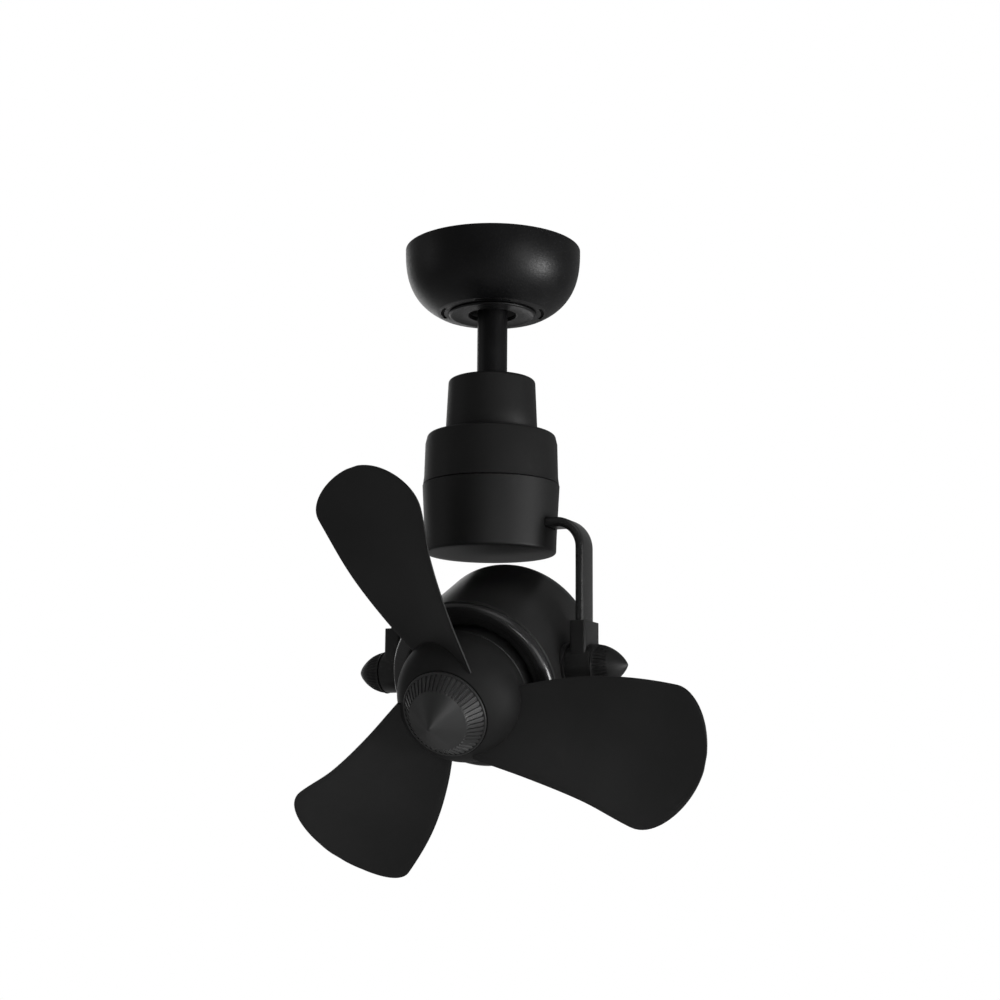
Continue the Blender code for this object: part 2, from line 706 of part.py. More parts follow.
def canopy_screws():
    x, y = CANOPY_SCREW_PLACE
    for number, way in enumerate((1, -1), 1):
        seat = CANOPY_FLOOR_Z + CANOPY_SCREW[2]
        end = BRACKET_SEAT_Z + OVERCUT
        made = screw_shape(f"canopy_screw_{number}", CANOPY_SCREW, seat, end, "black_screw", None)
        placed(made, way * x, way * y)


# Hanger ball, downrod and coupling


def hanger_ball():
    steep = math.degrees(math.acos(BALL_MOUTH_RADIUS / BALL_RADIUS))
    bore = ROD_RADIUS + GAP
    outside = arc(0, BALL_Z, BALL_RADIUS, steep, -steep, 8)
    half_height = BALL_RADIUS * math.sin(math.radians(steep))
    profile = outside + [(bore, BALL_Z - half_height), (bore, BALL_Z + half_height)]
    made = hung(lathe("hanger_ball", profile, "rubber"))
    half_groove = TAB_THICKNESS / 2 + TAB_SIDE_CLEARANCE
    groove = box(
        "ball_groove",
        (TAB_TIP_X - TAB_TIP_CLEARANCE, -half_groove, BALL_Z - BALL_RADIUS),
        (BALL_RADIUS + OVERCUT, half_groove, BALL_Z + BALL_RADIUS),
    )
    cut(made, hung(groove), hung(pin_hole("ball_pin_hole", BALL_RADIUS, BALL_Z, "Y")))
    return made


def pin_hole(name, reach, z, axis):
    made = turned_to(rod(name, PIN_RADIUS + GAP, -reach - OVERCUT, reach + OVERCUT), axis)
    made.location.z = z
    return made


def cross_pin(name, half_length, z, axis):
    made = turned_to(rod(name, PIN_RADIUS, -half_length, half_length, "steel"), axis)
    made.location.z = z
    return hung(made)


def downrod():
    top = BALL_Z + ROD_TOP_ABOVE_BALL
    made = hung(tube("downrod", ROD_RADIUS, ROD_BORE_RADIUS, ROD_BOTTOM_Z, top, "black_paint"))
    top_hole = pin_hole("rod_top_hole", ROD_RADIUS, BALL_Z, "Y")
    foot_hole = pin_hole("rod_foot_hole", ROD_RADIUS, COUPLING_PIN_Z, "X")
    cut(made, hung(top_hole), hung(foot_hole))
    lead = rod("downrod_lead", LEAD_RADIUS, slip_ring_top() + GAP, top - OVERCUT, "rubber", segments=12)
    hung(placed(lead, -LEAD_OFFSET, -LEAD_OFFSET))
    return made


def slip_ring_top():
    return SHOULDER_Z + GAP + COUPLING_LEDGE + GAP + SLIP_RING_HEIGHT


def downrod_coupling():
    foot = SHOULDER_Z + GAP
    bore = ROD_RADIUS + GAP
    profile = [(bore, COUPLING_TOP_Z), (COUPLING_RADIUS, COUPLING_TOP_Z), (COUPLING_RADIUS, FLANGE_TOP_Z)]
    profile += [(FLANGE_RADIUS, FLANGE_TOP_Z), (FLANGE_RADIUS, foot), (COUPLING_MOUTH_RADIUS, foot)]
    profile += [(COUPLING_MOUTH_RADIUS, foot + COUPLING_LEDGE), (bore, foot + COUPLING_LEDGE)]
    made = hung(lathe("downrod_coupling", profile, "steel"))
    cut(made, hung(pin_hole("coupling_pin_hole", COUPLING_RADIUS, COUPLING_PIN_Z, "X")))
    for number, way in enumerate((1, -1), 1):
        x = way * COUPLING_SCREW_PLACE
        hole = rod(f"flange_hole_{number}", COUPLING_SCREW[0] + GAP, foot - OVERCUT, FLANGE_TOP_Z + OVERCUT)
        cut(made, hung(placed(hole, x)))
        end = SHOULDER_Z - HOUSING_TOP_WALL
        screw = screw_shape(
            f"coupling_screw_{number}", COUPLING_SCREW, FLANGE_TOP_Z + GAP, end, "black_screw", None
        )
        hung(placed(screw, x))
    return made


def slip_ring():
    top = slip_ring_top()
    profile = [(0, top), (ROD_RADIUS - TRIM_EDGE, top), (ROD_RADIUS, top - TRIM_EDGE)]
    profile += [(ROD_RADIUS, top - SLIP_RING_HEIGHT), (0, top - SLIP_RING_HEIGHT)]
    return hung(lathe("slip_ring", profile, "black_plastic"))


def coupling_cover():
    foot = SHOULDER_Z + GAP
    edge, wall = COVER_EDGE, COVER_WALL
    hole = ROD_RADIUS + COVER_ROD_GAP
    profile = [(hole, COVER_TOP_Z)]
    profile += arc(COVER_TOP_RADIUS - edge, COVER_TOP_Z - edge, edge, 90, 0)
    profile += [(COVER_FOOT_RADIUS, foot), (COVER_FOOT_RADIUS - wall, foot)]
    profile += [(COVER_TOP_RADIUS - wall, COVER_TOP_Z - edge), (COVER_TOP_RADIUS - edge, COVER_TOP_Z - wall)]
    profile += [(hole, COVER_TOP_Z - wall)]
    return hung(lathe("coupling_cover", profile, "black_paint", segments=LARGE_ROUND))


# Upper housing with the turning drive


def upper_housing():
    edge, wall = SHOULDER_EDGE, HOUSING_WALL
    ceiling = SHOULDER_Z - HOUSING_TOP_WALL
    seat = BEARING_RADIUS + GAP
    profile = [(seat, SHOULDER_Z)] + arc(SHOULDER_RADIUS - edge, SHOULDER_Z - edge, edge, 90, 0)
    profile += [(UPPER_FOOT_RADIUS, UPPER_FOOT_Z), (UPPER_FOOT_RADIUS - wall, UPPER_FOOT_Z)]
    profile += [(SHOULDER_RADIUS - wall, ceiling), (BEARING_BOSS_RADIUS, ceiling)]
    profile += [(BEARING_BOSS_RADIUS, BEARING_BOSS_FOOT_Z), (seat, BEARING_BOSS_FOOT_Z)]
    profile += [(seat, LOWER_BEARING_TOP_Z + GAP), (BEARING_LEDGE_RADIUS, LOWER_BEARING_TOP_Z + GAP)]
    profile += [(BEARING_LEDGE_RADIUS, BEARING_STEP_Z), (seat, BEARING_STEP_Z)]
    made = hung(lathe("upper_housing", profile, "black_paint", segments=LARGE_ROUND))
    for number, way in enumerate((1, -1), 1):
        hole = rod(
            f"housing_screw_hole_{number}", COUPLING_SCREW[0] + GAP, ceiling - OVERCUT, SHOULDER_Z + OVERCUT
        )
        cut(made, hung(placed(hole, way * COUPLING_SCREW_PLACE)))
    return made


def orbit_bearings():
    for name, top in (("upper", UPPER_BEARING_TOP_Z), ("lower", LOWER_BEARING_TOP_Z)):
        made = tube(
            f"orbit_bearing_{name}", BEARING_RADIUS, SPINDLE_RADIUS + GAP, top - BEARING_WIDTH, top, "steel"
        )
        hung(made)


def orbit_motor():
    top = DRIVE_MOTOR_TOP_Z
    foot = top - DRIVE_MOTOR_HEIGHT
    hole = DRIVE_SHAFT_RADIUS + GAP
    profile = [(0, top), (DRIVE_MOTOR_RADIUS, top), (DRIVE_MOTOR_RADIUS, foot), (hole, foot)]
    profile += [(hole, foot + DRIVE_SHAFT_DEPTH + GAP), (0, foot + DRIVE_SHAFT_DEPTH + GAP)]
    return hung(placed(lathe("orbit_motor", profile, "steel"), y=DRIVE_OFFSET))


def gear_outline(teeth):
    """Teeth with straight flanks, the first one centred on +X."""
    pitch_radius = GEAR_MODULE * teeth / 2
    root = pitch_radius - TOOTH_DEDENDUM * GEAR_MODULE
    tip = pitch_radius + TOOTH_ADDENDUM * GEAR_MODULE
    step = 2 * math.pi / teeth
    points = []
    for tooth in range(teeth):
        for radius, share in (
            (root, -TOOTH_ROOT_SHARE), (tip, -TOOTH_TIP_SHARE),
            (tip, TOOTH_TIP_SHARE), (root, TOOTH_ROOT_SHARE),
        ):
            angle = step * (tooth + share / 2)
            points.append((radius * math.cos(angle), radius * math.sin(angle)))
    return points


def orbit_gear():
    low = GEAR_TOP_Z - GEAR_THICKNESS
    made = plate("orbit_gear", gear_outline(GEAR_TEETH), low, GEAR_TOP_Z, "white_plastic", orbit_pivot)
    foot = TURNTABLE_TOP_Z + GAP
    hub_radius = GEAR_BORE_RADIUS + GEAR_HUB_WALL
    hub = rod("gear_hub", hub_radius, foot, low + OVERLAP, None, orbit_pivot, MEDIUM_ROUND)
    bore = rod(
        "gear_bore", GEAR_BORE_RADIUS, foot - OVERCUT, GEAR_TOP_Z + OVERCUT, None, orbit_pivot, MEDIUM_ROUND
    )
    join(made, hub)
    return cut(made, bore)


def orbit_pinion():
    low = PINION_TOP_Z - PINION_THICKNESS
    made = plate("orbit_pinion", gear_outline(PINION_TEETH), low, PINION_TOP_Z, "white_plastic", swing_pivot)
    shaft_top = DRIVE_MOTOR_TOP_Z - DRIVE_MOTOR_HEIGHT + DRIVE_SHAFT_DEPTH
    shaft = rod("pinion_shaft", DRIVE_SHAFT_RADIUS, PINION_TOP_Z - OVERLAP, shaft_top, None, swing_pivot)
    # A gap between two of its teeth faces the gear's tooth at +Y
    turn = -math.pi / 2 + math.pi / PINION_TEETH
    for piece in (made, shaft):
        in_world(placed(piece, y=DRIVE_OFFSET, turn=turn))
    return join(made, shaft)


def turntable():
    shoulder_top = LOWER_BEARING_TOP_Z - BEARING_WIDTH - GAP
    base_top = TURNTABLE_TOP_Z + SPINDLE_BASE_HEIGHT
    thread_foot = UPPER_BEARING_TOP_Z - GAP
    profile = [(SPINDLE_BORE_RADIUS, SPINDLE_TOP_Z), (SPINDLE_THREAD_RADIUS, SPINDLE_TOP_Z)]
    profile += [(SPINDLE_THREAD_RADIUS, thread_foot), (SPINDLE_RADIUS, thread_foot)]
    profile += [(SPINDLE_RADIUS, shoulder_top), (SPINDLE_SHOULDER_RADIUS, shoulder_top)]
    profile += [(SPINDLE_SHOULDER_RADIUS, base_top), (SPINDLE_BASE_RADIUS, base_top)]
    profile += [(SPINDLE_BASE_RADIUS, TURNTABLE_TOP_Z), (TURNTABLE_RADIUS, TURNTABLE_TOP_Z)]
    profile += [(TURNTABLE_RADIUS, TURNTABLE_FOOT_Z), (SPINDLE_BORE_RADIUS, TURNTABLE_FOOT_Z)]
    made = lathe("turntable", profile, "steel", orbit_pivot)
    for number in (1, 2):
        hole = rod(
            f"turntable_hole_{number}", TURNTABLE_SCREW[0] + GAP,
            TURNTABLE_FOOT_Z - OVERCUT, TURNTABLE_TOP_Z + OVERCUT, None, orbit_pivot,
        )
        cut(made, lug_placed(hole, number, TURNTABLE_SCREW_PLACE))
        screw = screw_shape(
            f"turntable_screw_{number}", TURNTABLE_SCREW, TURNTABLE_TOP_Z + GAP,
            TURNTABLE_FOOT_Z - LUG_DEPTH + OVERCUT, "black_screw", orbit_pivot,
        )
        lug_placed(screw, number, TURNTABLE_SCREW_PLACE)
    return made


def lug_placed(obj, number, radius):
    angle = LUG_ANGLE + (number - 1) * math.pi
    return placed(obj, radius * math.cos(angle), radius * math.sin(angle))


def spindle_nut():
    low = UPPER_BEARING_TOP_Z + GAP
    return tube(
        "spindle_nut", NUT_RADIUS, SPINDLE_THREAD_RADIUS + GAP, low, SPINDLE_TOP_Z, "steel", orbit_pivot,
        NUT_SIDES * 2,
    )


# Lower housing and yoke


def lower_housing():
    wall, edge = HOUSING_WALL, LOWER_EDGE
    profile = [(0, FLOOR_Z), (LOWER_FOOT_RADIUS - wall - edge / 2, FLOOR_Z)]
    profile += [(LOWER_FOOT_RADIUS - wall, FLOOR_Z + edge / 2)]
    profile += [(LOWER_RIM_RADIUS - wall, LOWER_RIM_Z), (LOWER_RIM_RADIUS, LOWER_RIM_Z)]
    profile += arc(LOWER_FOOT_RADIUS - edge, LOWER_FOOT_Z + edge, edge, 0, -90)
    profile += [(LOWER_FOOT_RADIUS / 2, LOWER_FOOT_Z + LOWER_DISH * 0.75), (0, LOWER_FOOT_Z + LOWER_DISH)]
    made = lathe("lower_housing", profile, "black_paint", orbit_pivot, LARGE_ROUND)
    lug_top = TURNTABLE_FOOT_Z - GAP
    for number in (1, 2):
        lug = rod(f"housing_lug_{number}", LUG_RADIUS, lug_top - LUG_DEPTH, lug_top, None, orbit_pivot)
        join(made, lug_placed(lug, number, LUG_PLACE))
        hole = rod(
            f"lug_hole_{number}", TURNTABLE_SCREW[0] + GAP, lug_top - LUG_DEPTH - OVERCUT,
            lug_top + OVERCUT, None, orbit_pivot,
        )
        cut(made, lug_placed(hole, number, TURNTABLE_SCREW_PLACE))
    for side, way in SIDES.items():
        half = PAD_HALF_WIDTH
        pad = box(
            f"arm_pad_{side}", (PAD_START_X, -half, FLOOR_Z - OVERLAP), (PAD_END_X, half, PAD_TOP_Z),
            None, orbit_pivot,
        )
        join(made, placed(pad, turn=turn_of(way)))
        x, y = CLAMP_SCREW_PLACE
        hole = rod(
            f"pad_hole_{side}", CLAMP_SCREW[0] + GAP, FLOOR_Z + OVERCUT, PAD_TOP_Z + OVERCUT,
            None, orbit_pivot,
        )
        opening = plate(
            f"arm_opening_{side}", arm_section(ARM_HOLE_CLEARANCE), PAD_END_X, LOWER_RIM_RADIUS + OVERCUT,
            None, orbit_pivot,
        )
        turned_to(opening, "X")
        opening.location.z = ARM_ROOT_Z
        opening.rotation_euler.y *= way
        cut(made, placed(hole, way * x, way * y), opening)
    return made


def turn_of(way):
    """The left side is the right side turned half round the fan's axis."""
    return 0 if way > 0 else math.pi


def arm_section(grow):
    """The arm's cross-section, as (thickness, width) points grown by so much on every side."""
    return rounded_rectangle(ARM_THICKNESS + 2 * grow, ARM_WIDTH + 2 * grow, ARM_EDGE + grow)


def arm_sweep(name, grow, root_x, foot_z, look=None):
    """The arm's section run out sideways, round a quarter bend and down."""
    mesh = bpy.data.meshes.new(name)
    shape = bmesh.new()
    corners = [shape.verts.new((root_x, y, ARM_ROOT_Z + t)) for t, y in arm_section(grow)]
    first = shape.faces.new(corners)
    bend_x = ARM_X - ARM_BEND_RADIUS
    grown = bmesh.ops.extrude_face_region(shape, geom=[first])["geom"]
    moved = [part for part in grown if isinstance(part, bmesh.types.BMVert)]
    bmesh.ops.translate(shape, verts=moved, vec=(bend_x - root_x, 0, 0))
    face = [part for part in grown if isinstance(part, bmesh.types.BMFace)]
    spun = bmesh.ops.spin(
        shape, geom=face, cent=(bend_x, 0, ARM_ROOT_Z - ARM_BEND_RADIUS), axis=(0, 1, 0),
        angle=math.pi / 2, steps=BEND_STEPS, use_duplicate=False,
    )["geom_last"]
    bmesh.ops.delete(shape, geom=face, context="FACES_ONLY")
    last = [part for part in spun if isinstance(part, bmesh.types.BMFace)]
    grown = bmesh.ops.extrude_face_region(shape, geom=last)["geom"]
    bmesh.ops.delete(shape, geom=last, context="FACES_ONLY")
    moved = [part for part in grown if isinstance(part, bmesh.types.BMVert)]
    bmesh.ops.translate(shape, verts=moved, vec=(0, 0, foot_z - ARM_ROOT_Z + ARM_BEND_RADIUS))
    bmesh.ops.recalc_face_normals(shape, faces=shape.faces)
    shape.to_mesh(mesh)
    shape.free()
    return add(name, mesh, look, orbit_pivot)


def arms():
    for side, way in SIDES.items():
        made = arm_sweep(f"arm_{side}", 0, ARM_ROOT_X, ARM_FOOT_Z, "black_paint")
        bore = arm_sweep(f"arm_bore_{side}", -ARM_WALL, ARM_ROOT_X - OVERCUT, ARM_FOOT_Z - OVERCUT)
        placed(made, turn=turn_of(way))
        cut(made, placed(bore, turn=turn_of(way)))


def arm_clamp():
    half = PAD_HALF_WIDTH
    top = CLAMP_FOOT_Z + CLAMP_THICKNESS
    made = box(
        "arm_clamp", (-CLAMP_HALF_LENGTH, -half, CLAMP_FOOT_Z), (CLAMP_HALF_LENGTH, half, top),
        "steel", orbit_pivot,
    )
    x, y = CLAMP_SCREW_PLACE
    for number, way in enumerate((1, -1), 1):
        hole = rod(
            f"clamp_hole_{number}", CLAMP_SCREW[0] + GAP, CLAMP_FOOT_Z - OVERCUT, top + OVERCUT,
            None, orbit_pivot,
        )
        cut(made, placed(hole, way * x, way * y))
        screw = screw_shape(
            f"arm_clamp_screw_{number}", CLAMP_SCREW, top + GAP, FLOOR_Z + 2 * OVERCUT,
            "black_screw", orbit_pivot,
        )
        placed(screw, way * x, way * y)
    return made


def pivot_fittings():
    """Each has a socket for the arm's end above a barrel round the tilt axis."""
    for side, way in SIDES.items():
        end = arm_end_pivots[side]
        edge = BARREL_EDGE
        bore_radius = BOLT_RADIUS + GAP
        profile = [(0, BARREL_END_X), (BARREL_RADIUS - edge, BARREL_END_X)]
        profile += [(BARREL_RADIUS, BARREL_END_X - edge)]
        profile += [(BARREL_RADIUS, BARREL_START_X + edge), (BARREL_RADIUS - edge, BARREL_START_X)]
        profile += [(0, BARREL_START_X)]
        made = lathe(f"pivot_fitting_{side}", profile, "black_paint", end)
        socket = plate(
            f"socket_{side}",
            rounded_rectangle(ARM_THICKNESS + 2 * SOCKET_CHEEK, ARM_WIDTH + 2 * SOCKET_WALL, SOCKET_EDGE),
            TILT_Z + BOLT_RADIUS, SOCKET_TOP_Z, None, orbit_pivot,
        )
        pocket = plate(
            f"pocket_{side}", arm_section(GAP), SOCKET_TOP_Z - SOCKET_DEPTH, SOCKET_TOP_Z + OVERCUT,
            None, orbit_pivot,
        )
        wire_way = rod(f"wire_way_{side}", BOLT_BORE_RADIUS, TILT_Z, SOCKET_TOP_Z, None, orbit_pivot)
        for piece in (socket, pocket, wire_way):
            placed(piece, way * ARM_X)
        bore = rod(
            f"barrel_bore_{side}", bore_radius, BARREL_START_X - OVERCUT, BARREL_END_X + OVERCUT, None, end,
            MEDIUM_ROUND,
        )
        join(made, socket)
        cut(made, pocket, wire_way, bore)


def pivot_hardware():
    """The washer, bolt and thumb knob on each end of the tilt axis."""
    hole = BOLT_RADIUS + GAP
    for side, hub in knob_pivots.items():
        washer_start = PIVOT_BOSS_END_X + GAP
        tube(
            f"pivot_washer_{side}", WASHER_RADIUS, hole, washer_start, washer_start + WASHER_THICKNESS,
            "steel", hub,
        )
        head_front = PIVOT_BOSS_START_X - GAP
        profile = [(BOLT_BORE_RADIUS, BOLT_END_X), (BOLT_RADIUS, BOLT_END_X), (BOLT_RADIUS, head_front)]
        profile += [(BOLT_HEAD_RADIUS, head_front), (BOLT_HEAD_RADIUS, head_front - BOLT_HEAD_HEIGHT)]
        profile += [(BOLT_BORE_RADIUS, head_front - BOLT_HEAD_HEIGHT)]
        lathe(f"pivot_bolt_{side}", profile, "steel", hub)
        start = BARREL_END_X + GAP
        length = KNOB_TIP_X - start
        shares = [math.sin(i / KNOB_RINGS * math.pi / 2) for i in range(KNOB_RINGS + 1)]
        outside = [
            (BARREL_RADIUS * (1 - s**KNOB_FULLNESS) ** KNOB_TIP_ROUNDNESS, start + s * length) for s in shares
        ]
        depth = BOLT_END_X + KNOB_HOLE_MARGIN
        profile = [(0, depth), (hole, depth), (hole, start)] + outside[:-1] + [(0, KNOB_TIP_X)]
        lathe(f"tilt_knob_{side}", profile, "black_paint", hub)


# Motor housing


def motor_housing():
    wall, corner = CAN_WALL, CAN_CORNER
    inner = CAN_RADIUS - wall
    flat = CAN_RADIUS - corner
    back = CAN_CORNER_START - corner
    profile = [(0, back - CAN_BACK_BULGE), (flat * 0.6, back - CAN_BACK_BULGE * 0.6)]
    profile += arc(flat, CAN_CORNER_START, corner, -90, 0, 4)
    profile += [(CAN_RADIUS, CAN_FRONT - CAN_FRONT_EDGE), (CAN_RADIUS - CAN_FRONT_EDGE, CAN_FRONT)]
    profile += [(inner, CAN_FRONT), (inner, LEDGE_TOP), (LEDGE_RADIUS, LEDGE_TOP)]
    profile += [(LEDGE_RADIUS, LEDGE_TOP - LEDGE_HEIGHT), (inner, LEDGE_TOP - LEDGE_HEIGHT - wall)]
    profile += arc(flat, CAN_CORNER_START, corner - wall, 0, -90)
    profile += [(0, back - CAN_BACK_BULGE + wall)]
    made = lathe("motor_housing", profile, "black_paint", tilt_pivot, LARGE_ROUND)
    for side, hub in knob_pivots.items():
        boss = rod(
            f"pivot_boss_{side}", PIVOT_BOSS_RADIUS, PIVOT_BOSS_START_X, PIVOT_BOSS_END_X, None, hub,
            MEDIUM_ROUND,
        )
        bore = rod(
            f"pivot_boss_bore_{side}", BOLT_RADIUS + GAP, PIVOT_BOSS_START_X - OVERCUT,
            PIVOT_BOSS_END_X + OVERCUT, None, hub, MEDIUM_ROUND,
        )
        seat = rod(
            f"pivot_seat_{side}", WASHER_RADIUS + PIVOT_SEAT_MARGIN, PIVOT_BOSS_END_X, CAN_RADIUS + OVERCUT,
            None, hub, MEDIUM_ROUND,
        )
        join(made, boss)
        cut(made, bore, seat)
    return made


def front_ring():
    """A crest near the lip, a slope in to the bore, and a sleeve inside the can."""
    back, wall, lip = CAN_FRONT + GAP, RING_WALL, RING_LIP_WIDTH
    crest = RING_LIP_RADIUS - lip
    slope, rise, fall = crest - RING_BORE_RADIUS, RING_FRONT - back, RING_FRONT - RING_BORE_BACK
    sleeve = CAN_RADIUS - CAN_WALL - GAP
    turn = math.degrees(math.acos((sleeve - wall - crest) / (lip - wall)))
    profile = [(crest + lip * r, back + rise * z) for r, z in arc(0, 0, 1, 0, 90, 4)]
    profile += [(crest + slope * r, RING_BORE_BACK + fall * z) for r, z in arc(0, 0, 1, 90, 180, 5)[1:]]
    profile += [
        (crest + (slope - wall) * r, RING_BORE_BACK + (fall - wall) * z) for r, z in arc(0, 0, 1, 180, 90, 4)
    ]
    profile.append((sleeve - wall, back + (rise - wall) * math.sin(math.radians(turn))))
    profile += [(sleeve - wall, RING_SLEEVE_BACK), (sleeve, RING_SLEEVE_BACK), (sleeve, back)]
    return lathe("front_ring", profile, "black_paint", tilt_pivot, LARGE_ROUND)


# Motor


def motor_mount():
    plate_front = MOUNT_BACK + MOUNT_THICKNESS
    tube_bore = MOTOR_BEARING_RADIUS + GAP
    rear_step = MOUNT_BACK + MOTOR_BEARING_WIDTH + 2 * GAP
    front_step = BEARING_TUBE_FRONT - MOTOR_BEARING_WIDTH - 2 * GAP
    profile = [(CAN_RADIUS - CAN_WALL - GAP, plate_front), (CAN_RADIUS - CAN_WALL - GAP, MOUNT_BACK)]
    profile += [(tube_bore, MOUNT_BACK), (tube_bore, rear_step), (TUBE_LEDGE_RADIUS, rear_step)]
    profile += [(TUBE_LEDGE_RADIUS, front_step), (tube_bore, front_step), (tube_bore, BEARING_TUBE_FRONT)]
    profile += [(BEARING_TUBE_RADIUS, BEARING_TUBE_FRONT), (BEARING_TUBE_RADIUS, plate_front)]
    made = lathe("motor_mount", profile, "steel", tilt_pivot, LARGE_ROUND)
    for i in range(BOARD_POST_COUNT):
        post = rod(
            f"board_post_{i}", BOARD_POST_RADIUS, MOUNT_BACK - BOARD_DISTANCE + GAP, MOUNT_BACK + OVERLAP,
            None, tilt_pivot, 12,
        )
        angle = 2 * math.pi * i / BOARD_POST_COUNT
        join(made, placed(post, BOARD_POST_PLACE * math.cos(angle), BOARD_POST_PLACE * math.sin(angle)))
    return made


def motor_bearings():
    rear = MOUNT_BACK + GAP
    front = BEARING_TUBE_FRONT - GAP - MOTOR_BEARING_WIDTH
    for name, back in (("rear", rear), ("front", front)):
        tube(
            f"motor_bearing_{name}", MOTOR_BEARING_RADIUS, SHAFT_RADIUS + GAP,
            back, back + MOTOR_BEARING_WIDTH,
            "steel", tilt_pivot,
        )


def driver_board():
    front = MOUNT_BACK - BOARD_DISTANCE
    return tube(
        "driver_board", BOARD_RADIUS, BOARD_HOLE_RADIUS, front - BOARD_THICKNESS, front, "board", tilt_pivot
    )


def stator_outline(grow):
    """The laminations' poles, each a neck with a wider shoe at its end."""
    yoke, shoe, rim = STATOR_YOKE_RADIUS + grow, STATOR_SHOE_START - grow, STATOR_RADIUS + grow
    half = STATOR_NECK_HALF_WIDTH + grow
    side = STATOR_SHOE_ANGLE + grow / STATOR_RADIUS
    pole = [(yoke, -half / yoke), (shoe, -half / shoe), (shoe, -side), (rim, -side), (rim, 0)]
    pole += [(rim, side), (shoe, side), (shoe, half / shoe), (yoke, half / yoke)]
    points = []
    for i in range(STATOR_POLES):
        middle = 2 * math.pi * i / STATOR_POLES
        points += [(r * math.cos(middle + a), r * math.sin(middle + a)) for r, a in pole]
    return points


def stator():
    made = plate("stator_core", stator_outline(0), STATOR_BACK, STATOR_FRONT, "laminations", tilt_pivot)
    hole = rod(
        "stator_hole", BEARING_TUBE_RADIUS + GAP, STATOR_BACK - OVERCUT, STATOR_FRONT + OVERCUT, None,
        tilt_pivot, LARGE_ROUND,
    )
    cut(made, hole)
    winding = tube(
        "stator_winding", STATOR_SHOE_START - GAP, STATOR_YOKE_RADIUS + GAP, STATOR_BACK - WINDING_OVERHANG,
        STATOR_FRONT + WINDING_OVERHANG, "copper", tilt_pivot,
    )
    core_space = plate(
        "core_space", stator_outline(GAP), STATOR_BACK - GAP, STATOR_FRONT + GAP, None, tilt_pivot
    )
    cut(winding, core_space)


# Rotor


def rotor_can():
    inner = ROTOR_RADIUS - ROTOR_WALL
    plate_back = ROTOR_FRONT - ROTOR_PLATE
    hole = SHAFT_RADIUS + GAP
    profile = [(hole, ROTOR_FRONT), (ROTOR_RADIUS, ROTOR_FRONT), (ROTOR_RADIUS, ROTOR_BACK)]
    profile += [(inner, ROTOR_BACK)]
    profile += [(inner, plate_back), (ROTOR_BOSS_RADIUS, plate_back), (ROTOR_BOSS_RADIUS, ROTOR_BOSS_BACK)]
    profile += [(hole, ROTOR_BOSS_BACK)]
    return lathe("rotor_can", profile, "black_paint", rotor_pivot, LARGE_ROUND)


def magnet_ring():
    outer = ROTOR_RADIUS - ROTOR_WALL - GAP
    return tube(
        "magnet_ring", outer, outer - MAGNET_THICKNESS, MAGNET_BACK, MAGNET_FRONT, "magnet", rotor_pivot,
        LARGE_ROUND,
    )


def motor_shaft():
    return rod("motor_shaft", SHAFT_RADIUS, SHAFT_BACK, SHAFT_FRONT, "steel", rotor_pivot)


def dome(radius, depth, front, steps):
    """Points down the hub's dome from its front face to its widest."""
    start = math.asin((front - HUB_WIDEST) / depth)
    angles = [start * (1 - i / steps) for i in range(steps + 1)]
    return [(radius * math.cos(a), HUB_WIDEST + depth * math.sin(a)) for a in angles]


def hub_shell():
    wall = HUB_WALL
    outside = dome(HUB_RADIUS, HUB_DEPTH, HUB_FRONT, HUB_RINGS)
    inside = dome(HUB_RADIUS - wall, HUB_DEPTH - wall, HUB_FRONT - wall, HUB_RINGS)
    hole = SHAFT_RADIUS + GAP
    profile = [(hole, HUB_FRONT)] + outside
    profile += [(HUB_BACK_RADIUS, HUB_BACK), (HUB_BACK_RADIUS - wall, HUB_BACK)]
    profile += inside[::-1] + [(hole, HUB_FRONT - wall)]
    made = lathe("hub_shell", profile, "black_plastic", rotor_pivot, LARGE_ROUND)
    return cut(made, *(tongue_space(f"hub_slot_{i}", i) for i in range(BLADE_COUNT)))


def blade_carrier():
    hole = SHAFT_RADIUS + GAP
    back, front = ROTOR_FRONT + GAP, HUB_FRONT - HUB_WALL - GAP
    profile = [(hole, front), (CARRIER_BOSS_RADIUS, front), (CARRIER_BOSS_RADIUS, CARRIER_FRONT)]
    profile += [(CARRIER_RADIUS, CARRIER_FRONT), (CARRIER_RADIUS, back), (hole, back)]
    made = lathe("blade_carrier", profile, "black_plastic", rotor_pivot)
    for i in range(BLADE_COUNT):
        screw_hole = rod(
            f"carrier_screw_hole_{i}", BLADE_SCREW[0] + GAP, BLADE_SCREW_END - GAP, CARRIER_FRONT + OVERCUT,
            None, rotor_pivot,
        )
        cut(made, tongue_space(f"carrier_slot_{i}", i), on_blade(screw_hole, i, BLADE_SCREW_PLACE))
    return made


def blade_angle(number):
    return BLADE_FIRST_ANGLE + 2 * math.pi * number / BLADE_COUNT


def on_blade(obj, number, radius=0):
    """Turns a shape to its blade, at a radius on the blade's middle line."""
    angle = blade_angle(number)
    return placed(obj, radius * math.cos(angle), radius * math.sin(angle), turn=angle)


def along_stations(column, radius):
    """A blade size at a radius, from a smooth curve through the stations."""
    radii = np.array([row[0] for row in BLADE_STATIONS])
    values = np.array([row[column] for row in BLADE_STATIONS])
    slopes = np.gradient(values, radii)
    i = int(np.clip(np.searchsorted(radii, radius) - 1, 0, len(radii) - 2))
    width = radii[i + 1] - radii[i]
    t = (radius - radii[i]) / width
    start = values[i] * (1 + 2 * t) * (1 - t) ** 2 + slopes[i] * width * t * (1 - t) ** 2
    return start + values[i + 1] * t**2 * (3 - 2 * t) + slopes[i + 1] * width * t**2 * (t - 1)


